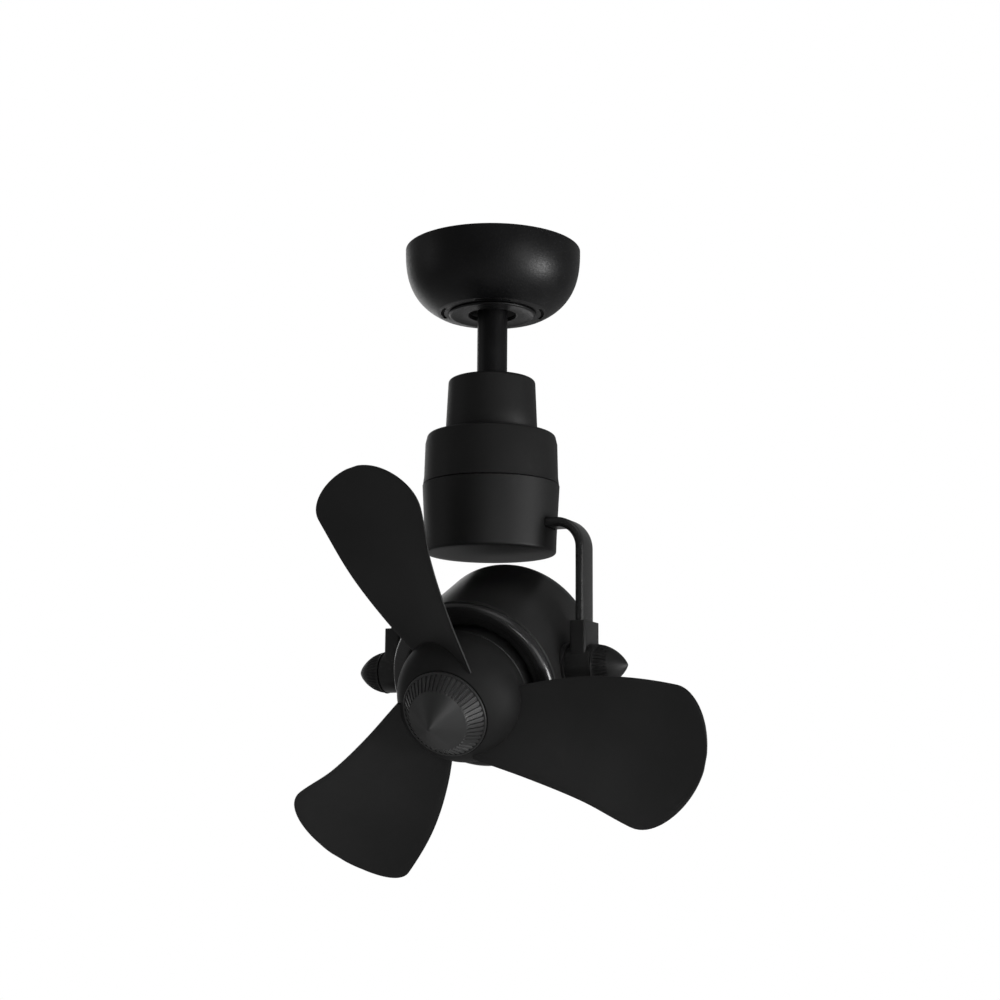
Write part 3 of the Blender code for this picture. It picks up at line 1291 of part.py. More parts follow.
def tip_share(radius, start):
    """How much of the chord is left at a radius, as the tip's outline curves in."""
    run = min(max((radius - start) / (BLADE_TIP_RADIUS - start), 0), 1)
    return (1 - run**TIP_ROUNDNESS) ** (1 / TIP_ROUNDNESS)


def blade_point(radius, share, lift):
    """A point of the blade at a share of its chord, -1 behind to 1 ahead, lifted off its middle surface."""
    ahead, behind = along_stations(1, radius), along_stations(2, radius)
    pitch, forward = math.radians(along_stations(3, radius)), along_stations(4, radius)
    across = share * (ahead if share > 0 else behind)
    camber = BLADE_CAMBER * (ahead + behind) * (1 - share**2)
    y = across * math.cos(pitch)
    z = forward - across * math.sin(pitch) - camber
    return radius, y + lift * math.sin(pitch), z + lift * math.cos(pitch)


def blade_loft(name, extra, look=None):
    """A closed shell between the blade's front and back surfaces, from inside the hub to the tip."""
    root = BLADE_STATIONS[0][0]
    last = BLADE_TIP_RADIUS - GAP
    spans = [math.sin(i / BLADE_SPAN_STEPS * math.pi / 2) for i in range(BLADE_SPAN_STEPS + 1)]
    radii = [root + (last - root) * span for span in spans]
    shape = bmesh.new()
    loops = []
    for radius in radii:
        ahead_share, behind_share = tip_share(radius, LEAD_ROUND_START), tip_share(radius, TRAIL_ROUND_START)
        run = (radius - root) / (last - root)
        thickness = BLADE_ROOT_THICKNESS + run * (BLADE_TIP_THICKNESS - BLADE_ROOT_THICKNESS)
        shares = np.linspace(-1, 1, BLADE_CHORD_STEPS + 1)
        loop = []
        for side in (1, -1):
            for s in shares[::side]:
                share = s * (ahead_share if s > 0 else behind_share)
                swell = BLADE_EDGE_SHARE + (1 - BLADE_EDGE_SHARE) * math.sqrt(1 - s**2)
                lift = side * (thickness * swell / 2 + extra)
                loop.append(shape.verts.new(blade_point(radius, share, lift)))
        loops.append(loop)
    count = len(loops[0])
    for near, far in zip(loops, loops[1:]):
        for j in range(count):
            shape.faces.new((near[j], near[(j + 1) % count], far[(j + 1) % count], far[j]))
    for loop in (loops[0], loops[-1]):
        half = count // 2
        for j in range(half - 1):
            shape.faces.new((loop[j], loop[j + 1], loop[count - 2 - j], loop[count - 1 - j]))
    # A blade and its slot split their twisted faces the same way, so the gap between them is even
    bmesh.ops.triangulate(shape, faces=shape.faces, quad_method="FIXED")
    bmesh.ops.recalc_face_normals(shape, faces=shape.faces)
    mesh = bpy.data.meshes.new(name)
    shape.to_mesh(mesh)
    shape.free()
    return add(name, mesh, look, rotor_pivot)


def tongue_window(name, number, grow):
    """The space round a blade's root where it runs on through the hub's wall."""
    half = TONGUE_HALF_WIDTH + grow
    made = box(
        name, (TONGUE_START - grow, -half, ROTOR_FRONT), (TONGUE_END, half, HUB_FRONT + OVERCUT),
        None, rotor_pivot,
    )
    return on_blade(made, number)


def tongue_space(name, number):
    space = on_blade(blade_loft(name, GAP), number)
    return keep(space, tongue_window(f"{name}_window", number, GAP))


def blades():
    for number in range(BLADE_COUNT):
        label = number + 1
        made = on_blade(blade_loft(f"blade_{label}", 0, "black_plastic"), number)
        outside = dome(HUB_RADIUS + GAP, HUB_DEPTH + GAP, HUB_FRONT + GAP, HUB_RINGS)
        profile = [(0, HUB_FRONT + GAP)] + outside
        profile += [(HUB_BACK_RADIUS + GAP, HUB_BACK), (HUB_BACK_RADIUS + GAP, ROTOR_FRONT), (0, ROTOR_FRONT)]
        hub_space = lathe(f"hub_space_{label}", profile, None, rotor_pivot, LARGE_ROUND)
        cut(hub_space, tongue_window(f"tongue_window_{label}", number, 0))
        screw_hole = rod(
            f"blade_screw_hole_{label}", BLADE_SCREW[0] + GAP, ROTOR_FRONT, HUB_FRONT, None, rotor_pivot
        )
        cut(made, hub_space, on_blade(screw_hole, number, BLADE_SCREW_PLACE))
        screw = screw_shape(
            f"blade_screw_{label}", BLADE_SCREW, CARRIER_FRONT + GAP, BLADE_SCREW_END, "black_screw",
            rotor_pivot,
        )
        on_blade(screw, number, BLADE_SCREW_PLACE)


def spinner_cap():
    wall, back = SPINNER_WALL, SPINNER_BACK
    rim_front = back + SPINNER_RIM
    hole = SHAFT_RADIUS + GAP
    hole_end = SHAFT_FRONT + GAP
    cone_back = SPINNER_BAND_FRONT + GAP
    profile = [(hole, back), (SPINNER_BOSS_RADIUS, back), (SPINNER_BOSS_RADIUS, SPINNER_BAND_FRONT)]
    profile += [(SPINNER_CONE_RADIUS - wall, SPINNER_BAND_FRONT - wall)]
    profile += [(SPINNER_BAND_BACK_RADIUS - wall, rim_front)]
    profile += [(SPINNER_BAND_BACK_RADIUS - wall, back), (SPINNER_RADIUS, back), (SPINNER_RADIUS, rim_front)]
    profile += [(SPINNER_BAND_BACK_RADIUS, rim_front), (SPINNER_BAND_FRONT_RADIUS, SPINNER_BAND_FRONT)]
    profile += [(SPINNER_CONE_RADIUS, cone_back), (SPINNER_TIP_RADIUS, SPINNER_TIP - SPINNER_TIP_RADIUS)]
    profile += [(0, SPINNER_TIP), (0, hole_end), (hole, hole_end)]
    return lathe("spinner_cap", profile, "black_plastic", rotor_pivot, LARGE_ROUND)


hanger_bracket()
receiver_module()
canopy()
canopy_trim()
canopy_screws()
hanger_ball()
cross_pin("hanger_pin", BALL_RADIUS - PIN_INSET, BALL_Z, "Y")
downrod()
downrod_coupling()
cross_pin("coupling_pin", COUPLING_RADIUS - GAP, COUPLING_PIN_Z, "X")
slip_ring()
coupling_cover()
upper_housing()
orbit_bearings()
orbit_motor()
orbit_pinion()
orbit_gear()
turntable()
spindle_nut()
lower_housing()
arms()
arm_clamp()
pivot_fittings()
pivot_hardware()
motor_housing()
front_ring()
motor_mount()
motor_bearings()
driver_board()
stator()
rotor_can()
magnet_ring()
motor_shaft()
hub_shell()
blade_carrier()
blades()
spinner_cap()
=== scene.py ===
import json
import math
import bmesh
import bpy
from mathutils import Matrix, Vector


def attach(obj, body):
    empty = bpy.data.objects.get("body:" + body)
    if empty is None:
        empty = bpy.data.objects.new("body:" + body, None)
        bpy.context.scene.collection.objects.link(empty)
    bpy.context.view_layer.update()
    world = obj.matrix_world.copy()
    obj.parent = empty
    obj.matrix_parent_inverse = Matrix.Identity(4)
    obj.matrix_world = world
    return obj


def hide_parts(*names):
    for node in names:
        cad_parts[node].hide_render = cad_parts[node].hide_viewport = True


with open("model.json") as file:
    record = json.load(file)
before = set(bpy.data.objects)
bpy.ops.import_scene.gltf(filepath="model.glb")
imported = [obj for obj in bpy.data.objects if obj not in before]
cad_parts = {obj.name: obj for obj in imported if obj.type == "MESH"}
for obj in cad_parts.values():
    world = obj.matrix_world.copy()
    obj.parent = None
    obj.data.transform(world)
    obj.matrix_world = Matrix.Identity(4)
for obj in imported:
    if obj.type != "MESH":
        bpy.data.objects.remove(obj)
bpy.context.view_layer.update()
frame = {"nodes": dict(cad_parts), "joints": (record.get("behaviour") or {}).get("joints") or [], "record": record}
nodes = frame["nodes"]
print("frame loaded:", len(nodes), "pieces")

mm = 0.001
past = 2  # how far a cutter runs beyond the face that it opens, in millimetres


# ---- small tools ----

def clearSelection():
    bpy.ops.object.select_all(action="DESELECT")


def current():
    return bpy.context.active_object


def editing(mode="VERT"):
    bpy.ops.object.mode_set(mode="EDIT")
    bpy.ops.mesh.select_mode(type=mode)


def backToObject():
    bpy.ops.object.mode_set(mode="OBJECT")


def selectAll():
    bpy.ops.mesh.select_all(action="SELECT")


def fixNormals():
    selectAll()
    bpy.ops.mesh.normals_make_consistent(inside=False)


def weld(gap=1e-7):
    selectAll()
    bpy.ops.mesh.remove_doubles(threshold=gap)


def extrude(x, y, z):
    # pulls the selection out by a distance in millimetres
    bpy.ops.mesh.extrude_region_move(TRANSFORM_OT_translate={"value": (x * mm, y * mm, z * mm)})


def widen(share, z):
    # scales the selection about a point of the Z axis, square to that axis
    bpy.ops.transform.resize(value=(share, share, 1), center_override=(0, 0, z * mm))


def pickVerts(obj, test):
    # selects vertices by their place, from edit mode
    shape = bmesh.from_edit_mesh(obj.data)
    for v in shape.verts:
        v.select_set(bool(test(v.co)))
    shape.select_flush(True)
    shape.select_flush(False)
    bmesh.update_edit_mesh(obj.data)


def named(obj, name):
    obj.name = name
    obj.data.name = name
    return obj


def useOnly(obj):
    clearSelection()
    obj.select_set(True)
    bpy.context.view_layer.objects.active = obj


def settle(obj, place=Matrix()):
    # moves a finished shape to its place and leaves the object itself at the origin
    useOnly(obj)
    obj.matrix_world = place @ obj.matrix_world
    bpy.ops.object.transform_apply(location=True, rotation=True, scale=True)
    return obj


def smoothed(obj, angle=35):
    useOnly(obj)
    bpy.ops.object.shade_smooth_by_angle(angle=math.radians(angle))
    return obj


def modify(obj, kind, **settings):
    useOnly(obj)
    made = obj.modifiers.new(kind.lower(), kind)
    for key, value in settings.items():
        setattr(made, key, value)
    bpy.ops.object.modifier_apply(modifier=made.name)
    return obj


def carve(obj, *tools, operation="DIFFERENCE"):
    for tool in tools:
        modify(obj, "BOOLEAN", operation=operation, solver="EXACT", object=tool)
        bpy.data.objects.remove(tool, do_unlink=True)
    return obj


def cornerArc(r, z, radius, start, end, steps=5):
    # points of a rounded corner on a turned profile, in millimetres and degrees
    turn = [math.radians(start + (end - start) * i / steps) for i in range(steps + 1)]
    return [(r + radius * math.cos(a), z + radius * math.sin(a)) for a in turn]


def turned(name, rings, segments, place=Matrix()):
    # a ring of points pulled up and scaled from one profile point to the next, like a pot on a wheel
    clearSelection()
    first, rest = rings[0], rings[1:]
    startsOnAxis = first[0] == 0
    if startsOnAxis:
        first, rest = rings[1], rings[2:]
    bpy.ops.mesh.primitive_circle_add(
        vertices=segments, radius=first[0] * mm, fill_type="TRIFAN" if startsOnAxis else "NOTHING",
        location=(0, 0, first[1] * mm))
    obj = current()
    bpy.ops.object.transform_apply(location=True, rotation=True, scale=True)
    editing()
    if startsOnAxis:
        nearAxis = 1e-7
        pickVerts(obj, lambda co: math.hypot(co.x, co.y) < nearAxis)
        bpy.ops.transform.translate(value=(0, 0, (rings[0][1] - first[1]) * mm))
        pickVerts(obj, lambda co: math.hypot(co.x, co.y) > nearAxis)
        bpy.ops.mesh.select_mode(type="EDGE")
        bpy.ops.mesh.select_all(action="DESELECT")
        bpy.ops.mesh.select_non_manifold()
    else:
        selectAll()
    r, z = first
    for nextR, nextZ in rest:
        extrude(0, 0, nextZ - z)
        if nextR == 0:
            bpy.ops.mesh.merge(type="CENTER")
        elif nextR != r:
            widen(nextR / r, nextZ)
        r, z = nextR, nextZ
    bpy.ops.mesh.select_mode(type="VERT")
    if not startsOnAxis:
        # the last ring joins the first one
        extrude(0, 0, first[1] - z)
        widen(first[0] / r, first[1])
    weld(1e-6)
    fixNormals()
    backToObject()
    named(obj, name)
    settle(obj, place)
    return smoothed(obj)


def drill(radius, low, high, place=Matrix(), segments=32):
    # a round cutter or boss along Z, in millimetres
    clearSelection()
    bpy.ops.mesh.primitive_cylinder_add(
        vertices=segments, radius=radius * mm, depth=(high - low) * mm,
        location=(0, 0, (high + low) / 2 * mm))
    return settle(current(), place)


def block(low, high, place=Matrix()):
    clearSelection()
    middle = [(a + b) / 2 * mm for a, b in zip(low, high)]
    bpy.ops.mesh.primitive_cube_add(size=1, location=middle)
    obj = current()
    obj.scale = [(b - a) * mm for a, b in zip(low, high)]
    return settle(obj, place)


def roundedPlane(wide, deep, corner, segments):
    # a flat rectangle with rounded corners, left in edit mode
    clearSelection()
    bpy.ops.mesh.primitive_plane_add(size=1, location=(0, 0, 0))
    obj = current()
    obj.scale = (wide * mm, deep * mm, 1)
    bpy.ops.object.transform_apply(location=False, rotation=False, scale=True)
    editing()
    selectAll()
    bpy.ops.mesh.bevel(offset=corner * mm, segments=segments, affect="VERTICES")
    return obj


def ribShare(co, ribs):
    # how far a point lies along one rib's step, from 0 to 1
    step = 2 * math.pi / ribs
    return (math.atan2(co.y, co.x) % step) / step


def finished(obj, body, material, stoodFor):
    obj.data.materials.clear()
    obj.data.materials.append(material)
    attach(obj, body)
    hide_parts(stoodFor)


# ---- materials ----

def toLinear(hexColour):
    # sRGB hex to the linear values that shaders take
    parts = [int(hexColour[i:i + 2], 16) / 255 for i in (1, 3, 5)]
    return tuple(c / 12.92 if c <= 0.04045 else ((c + 0.055) / 1.055) ** 2.4 for c in parts) + (1.0,)


def addNode(tree, kind, inputs=None, **settings):
    # adds a node; inputs maps a socket's name or number to a value or to another node's output
    made = tree.nodes.new(kind)
    for key, value in settings.items():
        setattr(made, key, value)
    for key, value in (inputs or {}).items():
        if isinstance(value, bpy.types.NodeSocket):
            tree.links.new(value, made.inputs[key])
        else:
            made.inputs[key].default_value = value
    return made


def emptyMaterial(name):
    made = bpy.data.materials.new(name)
    made.use_nodes = True
    made.node_tree.nodes.clear()
    return made, made.node_tree


def finishMaterial(tree, shader):
    addNode(tree, "ShaderNodeOutputMaterial", {"Surface": shader.outputs[0]})


def coloured(tree, factor, dark, light, low=0.35, high=0.65):
    ramp = addNode(tree, "ShaderNodeValToRGB", {"Fac": factor})
    ramp.color_ramp.elements[0].position = low
    ramp.color_ramp.elements[0].color = toLinear(dark)
    ramp.color_ramp.elements[1].position = high
    ramp.color_ramp.elements[1].color = toLinear(light)
    return ramp.outputs["Color"]


def coatedSurface(name, look):
    # a sprayed or moulded skin: broad tone drift, a fine grain in gloss and height
    made, tree = emptyMaterial(name)
    where = addNode(tree, "ShaderNodeTexCoord").outputs["Object"]
    drift = addNode(tree, "ShaderNodeTexNoise", {
        "Vector": where, "Scale": 1 / (look["driftMm"] * mm), "Detail": 3.0, "Roughness": 0.5})
    grain = addNode(tree, "ShaderNodeTexNoise", {
        "Vector": where, "Scale": 1 / (look["grainMm"] * mm), "Detail": 4.0, "Roughness": 0.6})
    tone = coloured(tree, drift.outputs["Fac"], look["dark"], look["light"])
    gloss = addNode(tree, "ShaderNodeMapRange", {
        "Value": grain.outputs["Fac"], "From Min": 0.3, "From Max": 0.7,
        "To Min": look["roughness"] - look["spread"], "To Max": look["roughness"] + look["spread"]})
    bump = addNode(tree, "ShaderNodeBump", {
        "Height": grain.outputs["Fac"], "Strength": look["bump"], "Distance": look["grainMm"] * mm * 0.1})
    shader = addNode(tree, "ShaderNodeBsdfPrincipled", {
        "Base Color": tone, "Roughness": gloss.outputs["Result"], "Normal": bump.outputs["Normal"],
        "Metallic": look.get("metallic", 0.0)})
    if "ior" in look:
        shader.inputs["IOR"].default_value = look["ior"]
    finishMaterial(tree, shader)
    return made


paintLook = {"dark": "#0c0c0c", "light": "#111111", "roughness": 0.52, "spread": 0.03,
             "grainMm": 1.2, "driftMm": 60, "bump": 0.10, "ior": 1.34}
castLook = {"dark": "#1b1b1b", "light": "#212121", "roughness": 0.38, "spread": 0.03,
            "grainMm": 1.2, "driftMm": 50, "bump": 0.10, "ior": 1.34}
glossLook = {"dark": "#1a1a1a", "light": "#202020", "roughness": 0.25, "spread": 0.02,
             "grainMm": 1.0, "driftMm": 50, "bump": 0.06, "ior": 1.48}
powderLook = {"dark": "#060607", "light": "#0e0e0f", "roughness": 0.37, "spread": 0.08,
              "grainMm": 1.5, "driftMm": 30, "bump": 0.8, "ior": 1.30}
bladeLook = {"dark": "#1a1a1a", "light": "#202020", "roughness": 0.60, "spread": 0.03,
             "grainMm": 0.8, "driftMm": 90, "bump": 0.12, "ior": 1.32}
hubLook = {"dark": "#181818", "light": "#1e1e1e", "roughness": 0.58, "spread": 0.03,
           "grainMm": 0.8, "driftMm": 50, "bump": 0.10, "ior": 1.22}
spinnerLook = {"dark": "#1c1c1c", "light": "#232323", "roughness": 0.43, "spread": 0.03,
               "grainMm": 0.8, "driftMm": 40, "bump": 0.08, "ior": 1.48}

# sprayed and baked on steel: even satin black
satinPaint = coatedSurface("satinBlackPaint", paintLook)
# a smoother coat, on the ring and the arms: sharp bright streaks
glossPaint = coatedSurface("glossBlackPaint", glossLook)
# the same paint over castings and the cans: a shade greyer and glossier than on the sheet covers
castPaint = coatedSurface("blackCastPaint", castLook)
# baked powder: fine dimples that break up a highlight
powderCoat = coatedSurface("blackPowderCoat", powderLook)
# moulded ABS from a textured tool: soft and low in gloss
bladePlastic = coatedSurface("satinBlackAbs", bladeLook)
# the same ABS from a finer tool
hubPlastic = coatedSurface("hubBlackAbs", hubLook)
# from the smoothest tool, so the cone shows a highlight
spinnerPlastic = coatedSurface("spinnerBlackAbs", spinnerLook)
zincSteel = coatedSurface("zincPlatedSteel", {  # zinc over steel: pale grey metal with a cloudy sheen
    "dark": "#9a9c9c", "light": "#b4b6b5", "roughness": 0.34, "spread": 0.08, "grainMm": 0.5, "driftMm": 8,
    "bump": 0.10, "metallic": 1.0})
blackOxide = coatedSurface("blackOxideSteel", {  # oiled black steel: dark, brown where thin
    "dark": "#242424", "light": "#2e2c2a", "roughness": 0.38, "spread": 0.06, "grainMm": 0.5, "driftMm": 4,
    "bump": 0.10, "metallic": 0.7})
whiteNylon = coatedSurface("whiteNylon", {  # moulded nylon: warm white with a waxy gloss
    "dark": "#d6d3c8", "light": "#e2dfd6", "roughness": 0.45, "spread": 0.05, "grainMm": 0.8, "driftMm": 15,
    "bump": 0.10})
darkRubber = coatedSurface("mouldedRubber", {  # moulded rubber: matte, greyish bloom
    "dark": "#161616", "light": "#242424", "roughness": 0.75, "spread": 0.08, "grainMm": 0.7, "driftMm": 10,
    "bump": 0.25})
ferrite = coatedSurface("bondedFerrite", {  # sintered magnet: charcoal with a fine dry grain
    "dark": "#2a2a2c", "light": "#38383a", "roughness": 0.60, "spread": 0.10, "grainMm": 0.6, "driftMm": 6,
    "bump": 0.30})
circuitBoard = coatedSurface("solderMaskBoard", {  # glass board under green lacquer
    "dark": "#0f3d20", "light": "#1a5a31", "roughness": 0.35, "spread": 0.08, "grainMm": 1.0, "driftMm": 5,
    "bump": 0.10})


def bandedMetal(name, look, along):
    # layers or turns seen as fine lines across one direction
    made, tree = emptyMaterial(name)
    where = addNode(tree, "ShaderNodeTexCoord").outputs["Object"]
    lie = addNode(tree, "ShaderNodeMapping", {"Vector": where, "Rotation": along})
    lines = addNode(tree, "ShaderNodeTexWave", {
        "Vector": lie.outputs["Vector"], "Scale": 1 / (look["pitchMm"] * mm) / 20 * math.pi * 2,
        "Distortion": 0.4, "Detail": 1.0}, bands_direction="Z")
    tone = coloured(tree, lines.outputs["Fac"], look["dark"], look["light"], 0.2, 0.8)
    bump = addNode(tree, "ShaderNodeBump", {
        "Height": lines.outputs["Fac"], "Strength": 0.4, "Distance": 0.1 * mm})
    shader = addNode(tree, "ShaderNodeBsdfPrincipled", {
        "Base Color": tone, "Roughness": look["roughness"], "Metallic": 1.0,
        "Normal": bump.outputs["Normal"]})
    finishMaterial(tree, shader)
    return made


joints = {joint["name"]: joint for joint in frame["joints"]}
print("materials made")

# ---- places ----

tiltAt = Vector(joints["head_tilt"]["pos_m"])
rotorAxis = Vector(joints["rotor_spin"]["axis"])
headTurn = math.atan2(-rotorAxis.z, -rotorAxis.y)  # how far the head looks down
head = Matrix.Translation(tiltAt) @ Matrix.Rotation(math.pi / 2 + headTurn, 4, "X")
sides = {"right": 1, "left": -1}
outward = {side: Matrix.Rotation(way * math.pi / 2, 4, "Y") for side, way in sides.items()}
tiltEnd = {side: head @ outward[side] for side in sides}
uprightEnd = {side: Matrix.Translation(tiltAt) @ outward[side] for side in sides}
bladeFirst = -16.1
bladeTurn = [math.radians(bladeFirst + 120 * i) for i in range(3)]

alongMotor = (-(math.pi / 2 + headTurn), 0, 0)
stackedSteel = bandedMetal("stackedLaminations", {  # 0.5 mm sheets, drawn at 1 mm so that they show
    "dark": "#5d5d5f", "light": "#8c8c8e", "roughness": 0.45, "pitchMm": 1.0}, alongMotor)
woundCopper = bandedMetal("enamelledCopper", {  # 0.6 mm wire, drawn at twice that
    "dark": "#7d3a1c", "light": "#c26a35", "roughness": 0.32, "pitchMm": 1.2}, alongMotor)

# ---- canopy and trim ----

canopy = {"radius": 74.1, "depth": 62.3, "fullness": 2.65, "top": -0.45, "floor": -54.8, "wall": 1.6,
          "hole": 20.4, "lip": 0.3, "rings": 26, "bossAt": (22, 15), "bossRadius": 5, "bossTop": -46.3,
          "screwHead": 3.9, "headDeep": 2.3, "screwHole": 2.3, "slits": 4, "slitAt": 42.2, "slitWide": 2.6,
          "slitLong": 30, "slitCut": 8, "slitTurn": 26.1}


def bowl(radius, depth, top, floor, rings):
    full = canopy["fullness"]
    levels = [top + (floor - top) * math.sin(i / rings * math.pi / 2) for i in range(rings + 1)]
    return [(radius * (1 - (-z / depth) ** full) ** (1 / full), z) for z in levels]


def makeCanopy(c):
    wall = c["wall"]
    outside = bowl(c["radius"], c["depth"], c["top"], c["floor"], c["rings"])
    corner = outside[-1][0]
    inside = bowl(c["radius"] - wall, c["depth"] - wall, c["top"], c["floor"] + wall, c["rings"] // 2)
    flat = [(corner - (corner - c["hole"] - c["lip"]) * t, c["floor"]) for t in (0.35, 0.7, 1)]
    lip = [(c["hole"], c["floor"] + c["lip"]), (c["hole"], c["floor"] + wall)]
    obj = turned("canopyFine", outside + flat + lip + inside[::-1], 160)
    for way in (1, -1):
        place = Matrix.Translation((way * c["bossAt"][0] * mm, way * c["bossAt"][1] * mm, 0))
        boss = drill(c["bossRadius"], c["floor"] + wall / 2, c["bossTop"], place, 40)
        carve(obj, boss, operation="UNION")
        carve(obj, drill(c["screwHead"], c["floor"] - past, c["floor"] + c["headDeep"], place, 40),
              drill(c["screwHole"], c["floor"] - past, c["bossTop"] + past, place))
    half = c["slitLong"] / c["slitAt"] / 2
    for i in range(c["slits"]):
        clearSelection()
        bpy.ops.mesh.primitive_plane_add(size=1, location=(0, 0, 0))
        cutter = current()
        cutter.scale = (c["slitWide"] * mm, c["slitCut"] * mm, 1)
        cutter.rotation_euler = (math.pi / 2, 0, 0)
        cutter.location = (c["slitAt"] * mm, 0, c["floor"] * mm)
        bpy.ops.object.transform_apply(location=True, rotation=True, scale=True)
        editing()
        selectAll()
        bpy.ops.mesh.spin(steps=16, angle=2 * half, center=(0, 0, 0), axis=(0, 0, -1))
        weld()
        fixNormals()
        backToObject()
        turn = math.radians(c["slitTurn"]) + i * math.pi / 2 - half
        carve(obj, settle(cutter, Matrix.Rotation(turn, 4, "Z")))
    return smoothed(obj, 30)


finished(makeCanopy(canopy), "ceiling_fixing", powderCoat, "canopy")

trim = {"outer": 36.8, "inner": 20.4, "top": -55.1, "low": -57.0, "rim": 1.2, "corner": 0.4, "dish": 0.5,
        "dishOuter": (2.6, 3.6), "dishInner": (2, 0.5)}


def makeTrim(t):
    low, dish, corner = t["low"], t["low"] + t["dish"], t["corner"]
    profile = [(t["inner"], t["top"]), (t["outer"] - corner, t["top"]), (t["outer"], t["top"] - corner)]
    profile += cornerArc(t["outer"] - t["rim"], low + t["rim"], t["rim"], 0, -90)
    profile += [(t["outer"] - t["dishOuter"][0], low), (t["outer"] - t["dishOuter"][1], dish)]
    profile += [(t["inner"] + inward, dish) for inward in t["dishInner"]] + [(t["inner"], dish + corner)]
    return turned("canopyTrimFine", profile, 160)


finished(makeTrim(trim), "ceiling_fixing", powderCoat, "canopy_trim")
print("canopy and trim made")

# ---- downrod and coupling cover ----

downrod = {"radius": 12.7, "bore": 10.0, "top": -13.006, "foot": -140.0, "edge": 0.4, "ballZ": -31.006,
           "pinZ": -129.0, "pinHole": 3.3, "pinReach": 16}


def makeDownrod(d):
    top, foot, edge, reach = d["top"], d["foot"], d["edge"], d["pinReach"]
    profile = [(d["bore"], top), (d["radius"] - edge, top), (d["radius"], top - edge)]
    profile += [(d["radius"], top + (foot - top) * t) for t in (0.3, 0.6)]
    profile += [(d["radius"], foot + edge), (d["radius"] - edge, foot), (d["bore"], foot)]
    obj = turned("downrodFine", profile, 96)
    across = Matrix.Translation((0, 0, d["ballZ"] * mm)) @ Matrix.Rotation(math.pi / 2, 4, "X")
    along = Matrix.Translation((0, 0, d["pinZ"] * mm)) @ Matrix.Rotation(math.pi / 2, 4, "Y")
    carve(obj, drill(d["pinHole"], -reach, reach, across), drill(d["pinHole"], -reach, reach, along))
    return smoothed(obj)


finished(makeDownrod(downrod), "hanging", powderCoat, "downrod")

cover = {"top": -113.3, "topRadius": 36.5, "footRadius": 38.5, "foot": -160.2, "edge": 3.0, "wall": 2.0,
         "hole": 13.4, "holeEdge": 0.3, "footEdge": 0.5}


def makeCover(c):
    top, edge, wall = c["top"], c["edge"], c["wall"]
    out, down = c["footRadius"] - c["topRadius"], c["foot"] - top + edge
    profile = [(c["hole"], top - c["holeEdge"]), (c["hole"] + c["holeEdge"], top)]
    profile += cornerArc(c["topRadius"] - edge, top - edge, edge, 90, 0, 10)
    profile += [(c["topRadius"] + out * t, top - edge + down * t) for t in (0.3, 0.6, 0.98)]
    profile += [(c["footRadius"] - c["footEdge"], c["foot"]), (c["footRadius"] - wall, c["foot"])]
    profile += [(c["topRadius"] - wall, top - edge), (c["topRadius"] - edge, top - wall)]
    profile += [(c["hole"], top - wall)]
    return turned("couplingCoverFine", profile, 144)


finished(makeCover(cover), "hanging", satinPaint, "coupling_cover")
print("downrod and cover made")

# ---- upper housing ----

upper = {"shoulder": -160.5, "shoulderRadius": 53.8, "edge": 3.2, "flank": ((55.0, 8), (55.7, 36)),
         "foot": -202.8, "footRadius": 56.5, "footEdge": 0.4, "wall": 2.5, "topWall": 3.5, "boss": 22.0,
         "bossFoot": -192.0, "seat": 16.3, "ledge": 14.0, "stepTop": -176.6, "stepFoot": -182.7,
         "screwAt": 25.5, "screwHole": 2.8}


def makeUpper(u):
    wall, edge, top = u["wall"], u["edge"], u["shoulder"]
    ceiling = top - u["topWall"]
    profile = [(u["seat"], top)] + cornerArc(u["shoulderRadius"] - edge, top - edge, edge, 90, 0, 10)
    profile += [(r, top - down) for r, down in u["flank"]] + [(u["footRadius"], u["foot"] + u["footEdge"])]
    profile += [(u["footRadius"] - u["footEdge"], u["foot"]), (u["footRadius"] - wall, u["foot"])]
    profile += [(u["shoulderRadius"] - wall, ceiling), (u["boss"], ceiling), (u["boss"], u["bossFoot"])]
    profile += [(u["seat"], u["bossFoot"]), (u["seat"], u["stepFoot"]), (u["ledge"], u["stepFoot"])]
    profile += [(u["ledge"], u["stepTop"]), (u["seat"], u["stepTop"])]
    obj = turned("upperHousingFine", profile, 160)
    for way in (1, -1):
        place = Matrix.Translation((way * u["screwAt"] * mm, 0, 0))
        carve(obj, drill(u["screwHole"], ceiling - past, top + past, place))
    return smoothed(obj)


finished(makeUpper(upper), "hanging", satinPaint, "upper_housing")

# ---- lower housing ----

arm = {"wide": 22.0, "thick": 7.4, "wall": 1.4, "edge": 2.4, "x": 83.7, "bend": 22.0, "rootX": 30.0,
       "rootZ": -238.3, "footZ": -334.3, "steps": 20, "holeGap": 0.5}
lower = {"rim": -203.4, "rimRadius": 56.9, "foot": -260.2, "footRadius": 54.2, "edge": 2.2, "wall": 2.5,
         "floor": -255.3, "floorCorner": 2, "rimEdge": 0.4, "flank": ((55.6, 24), (54.5, 44)),
         "dish": ((44, 0.3), (25, 1.1), (8, 1.35), (0, 1.4)), "lugRadius": 6.5, "lugAt": 48.5,
         "lugTop": -208.3, "lugDeep": 14.0, "screwAt": 47.0, "screwHole": 2.2, "padX": (28.0, 48.0),
         "padY": 17.4, "padGap": 0.3, "clampAt": (38.0, 13.9), "clampHole": 2.0, "openingLong": 12}


def armSection(a, grow):
    # the arm's cross-section, square to X
    obj = roundedPlane(a["thick"] + 2 * grow, a["wide"] + 2 * grow, a["edge"] + grow, 5)
    backToObject()
    return settle(obj, Matrix.Rotation(math.pi / 2, 4, "Y"))


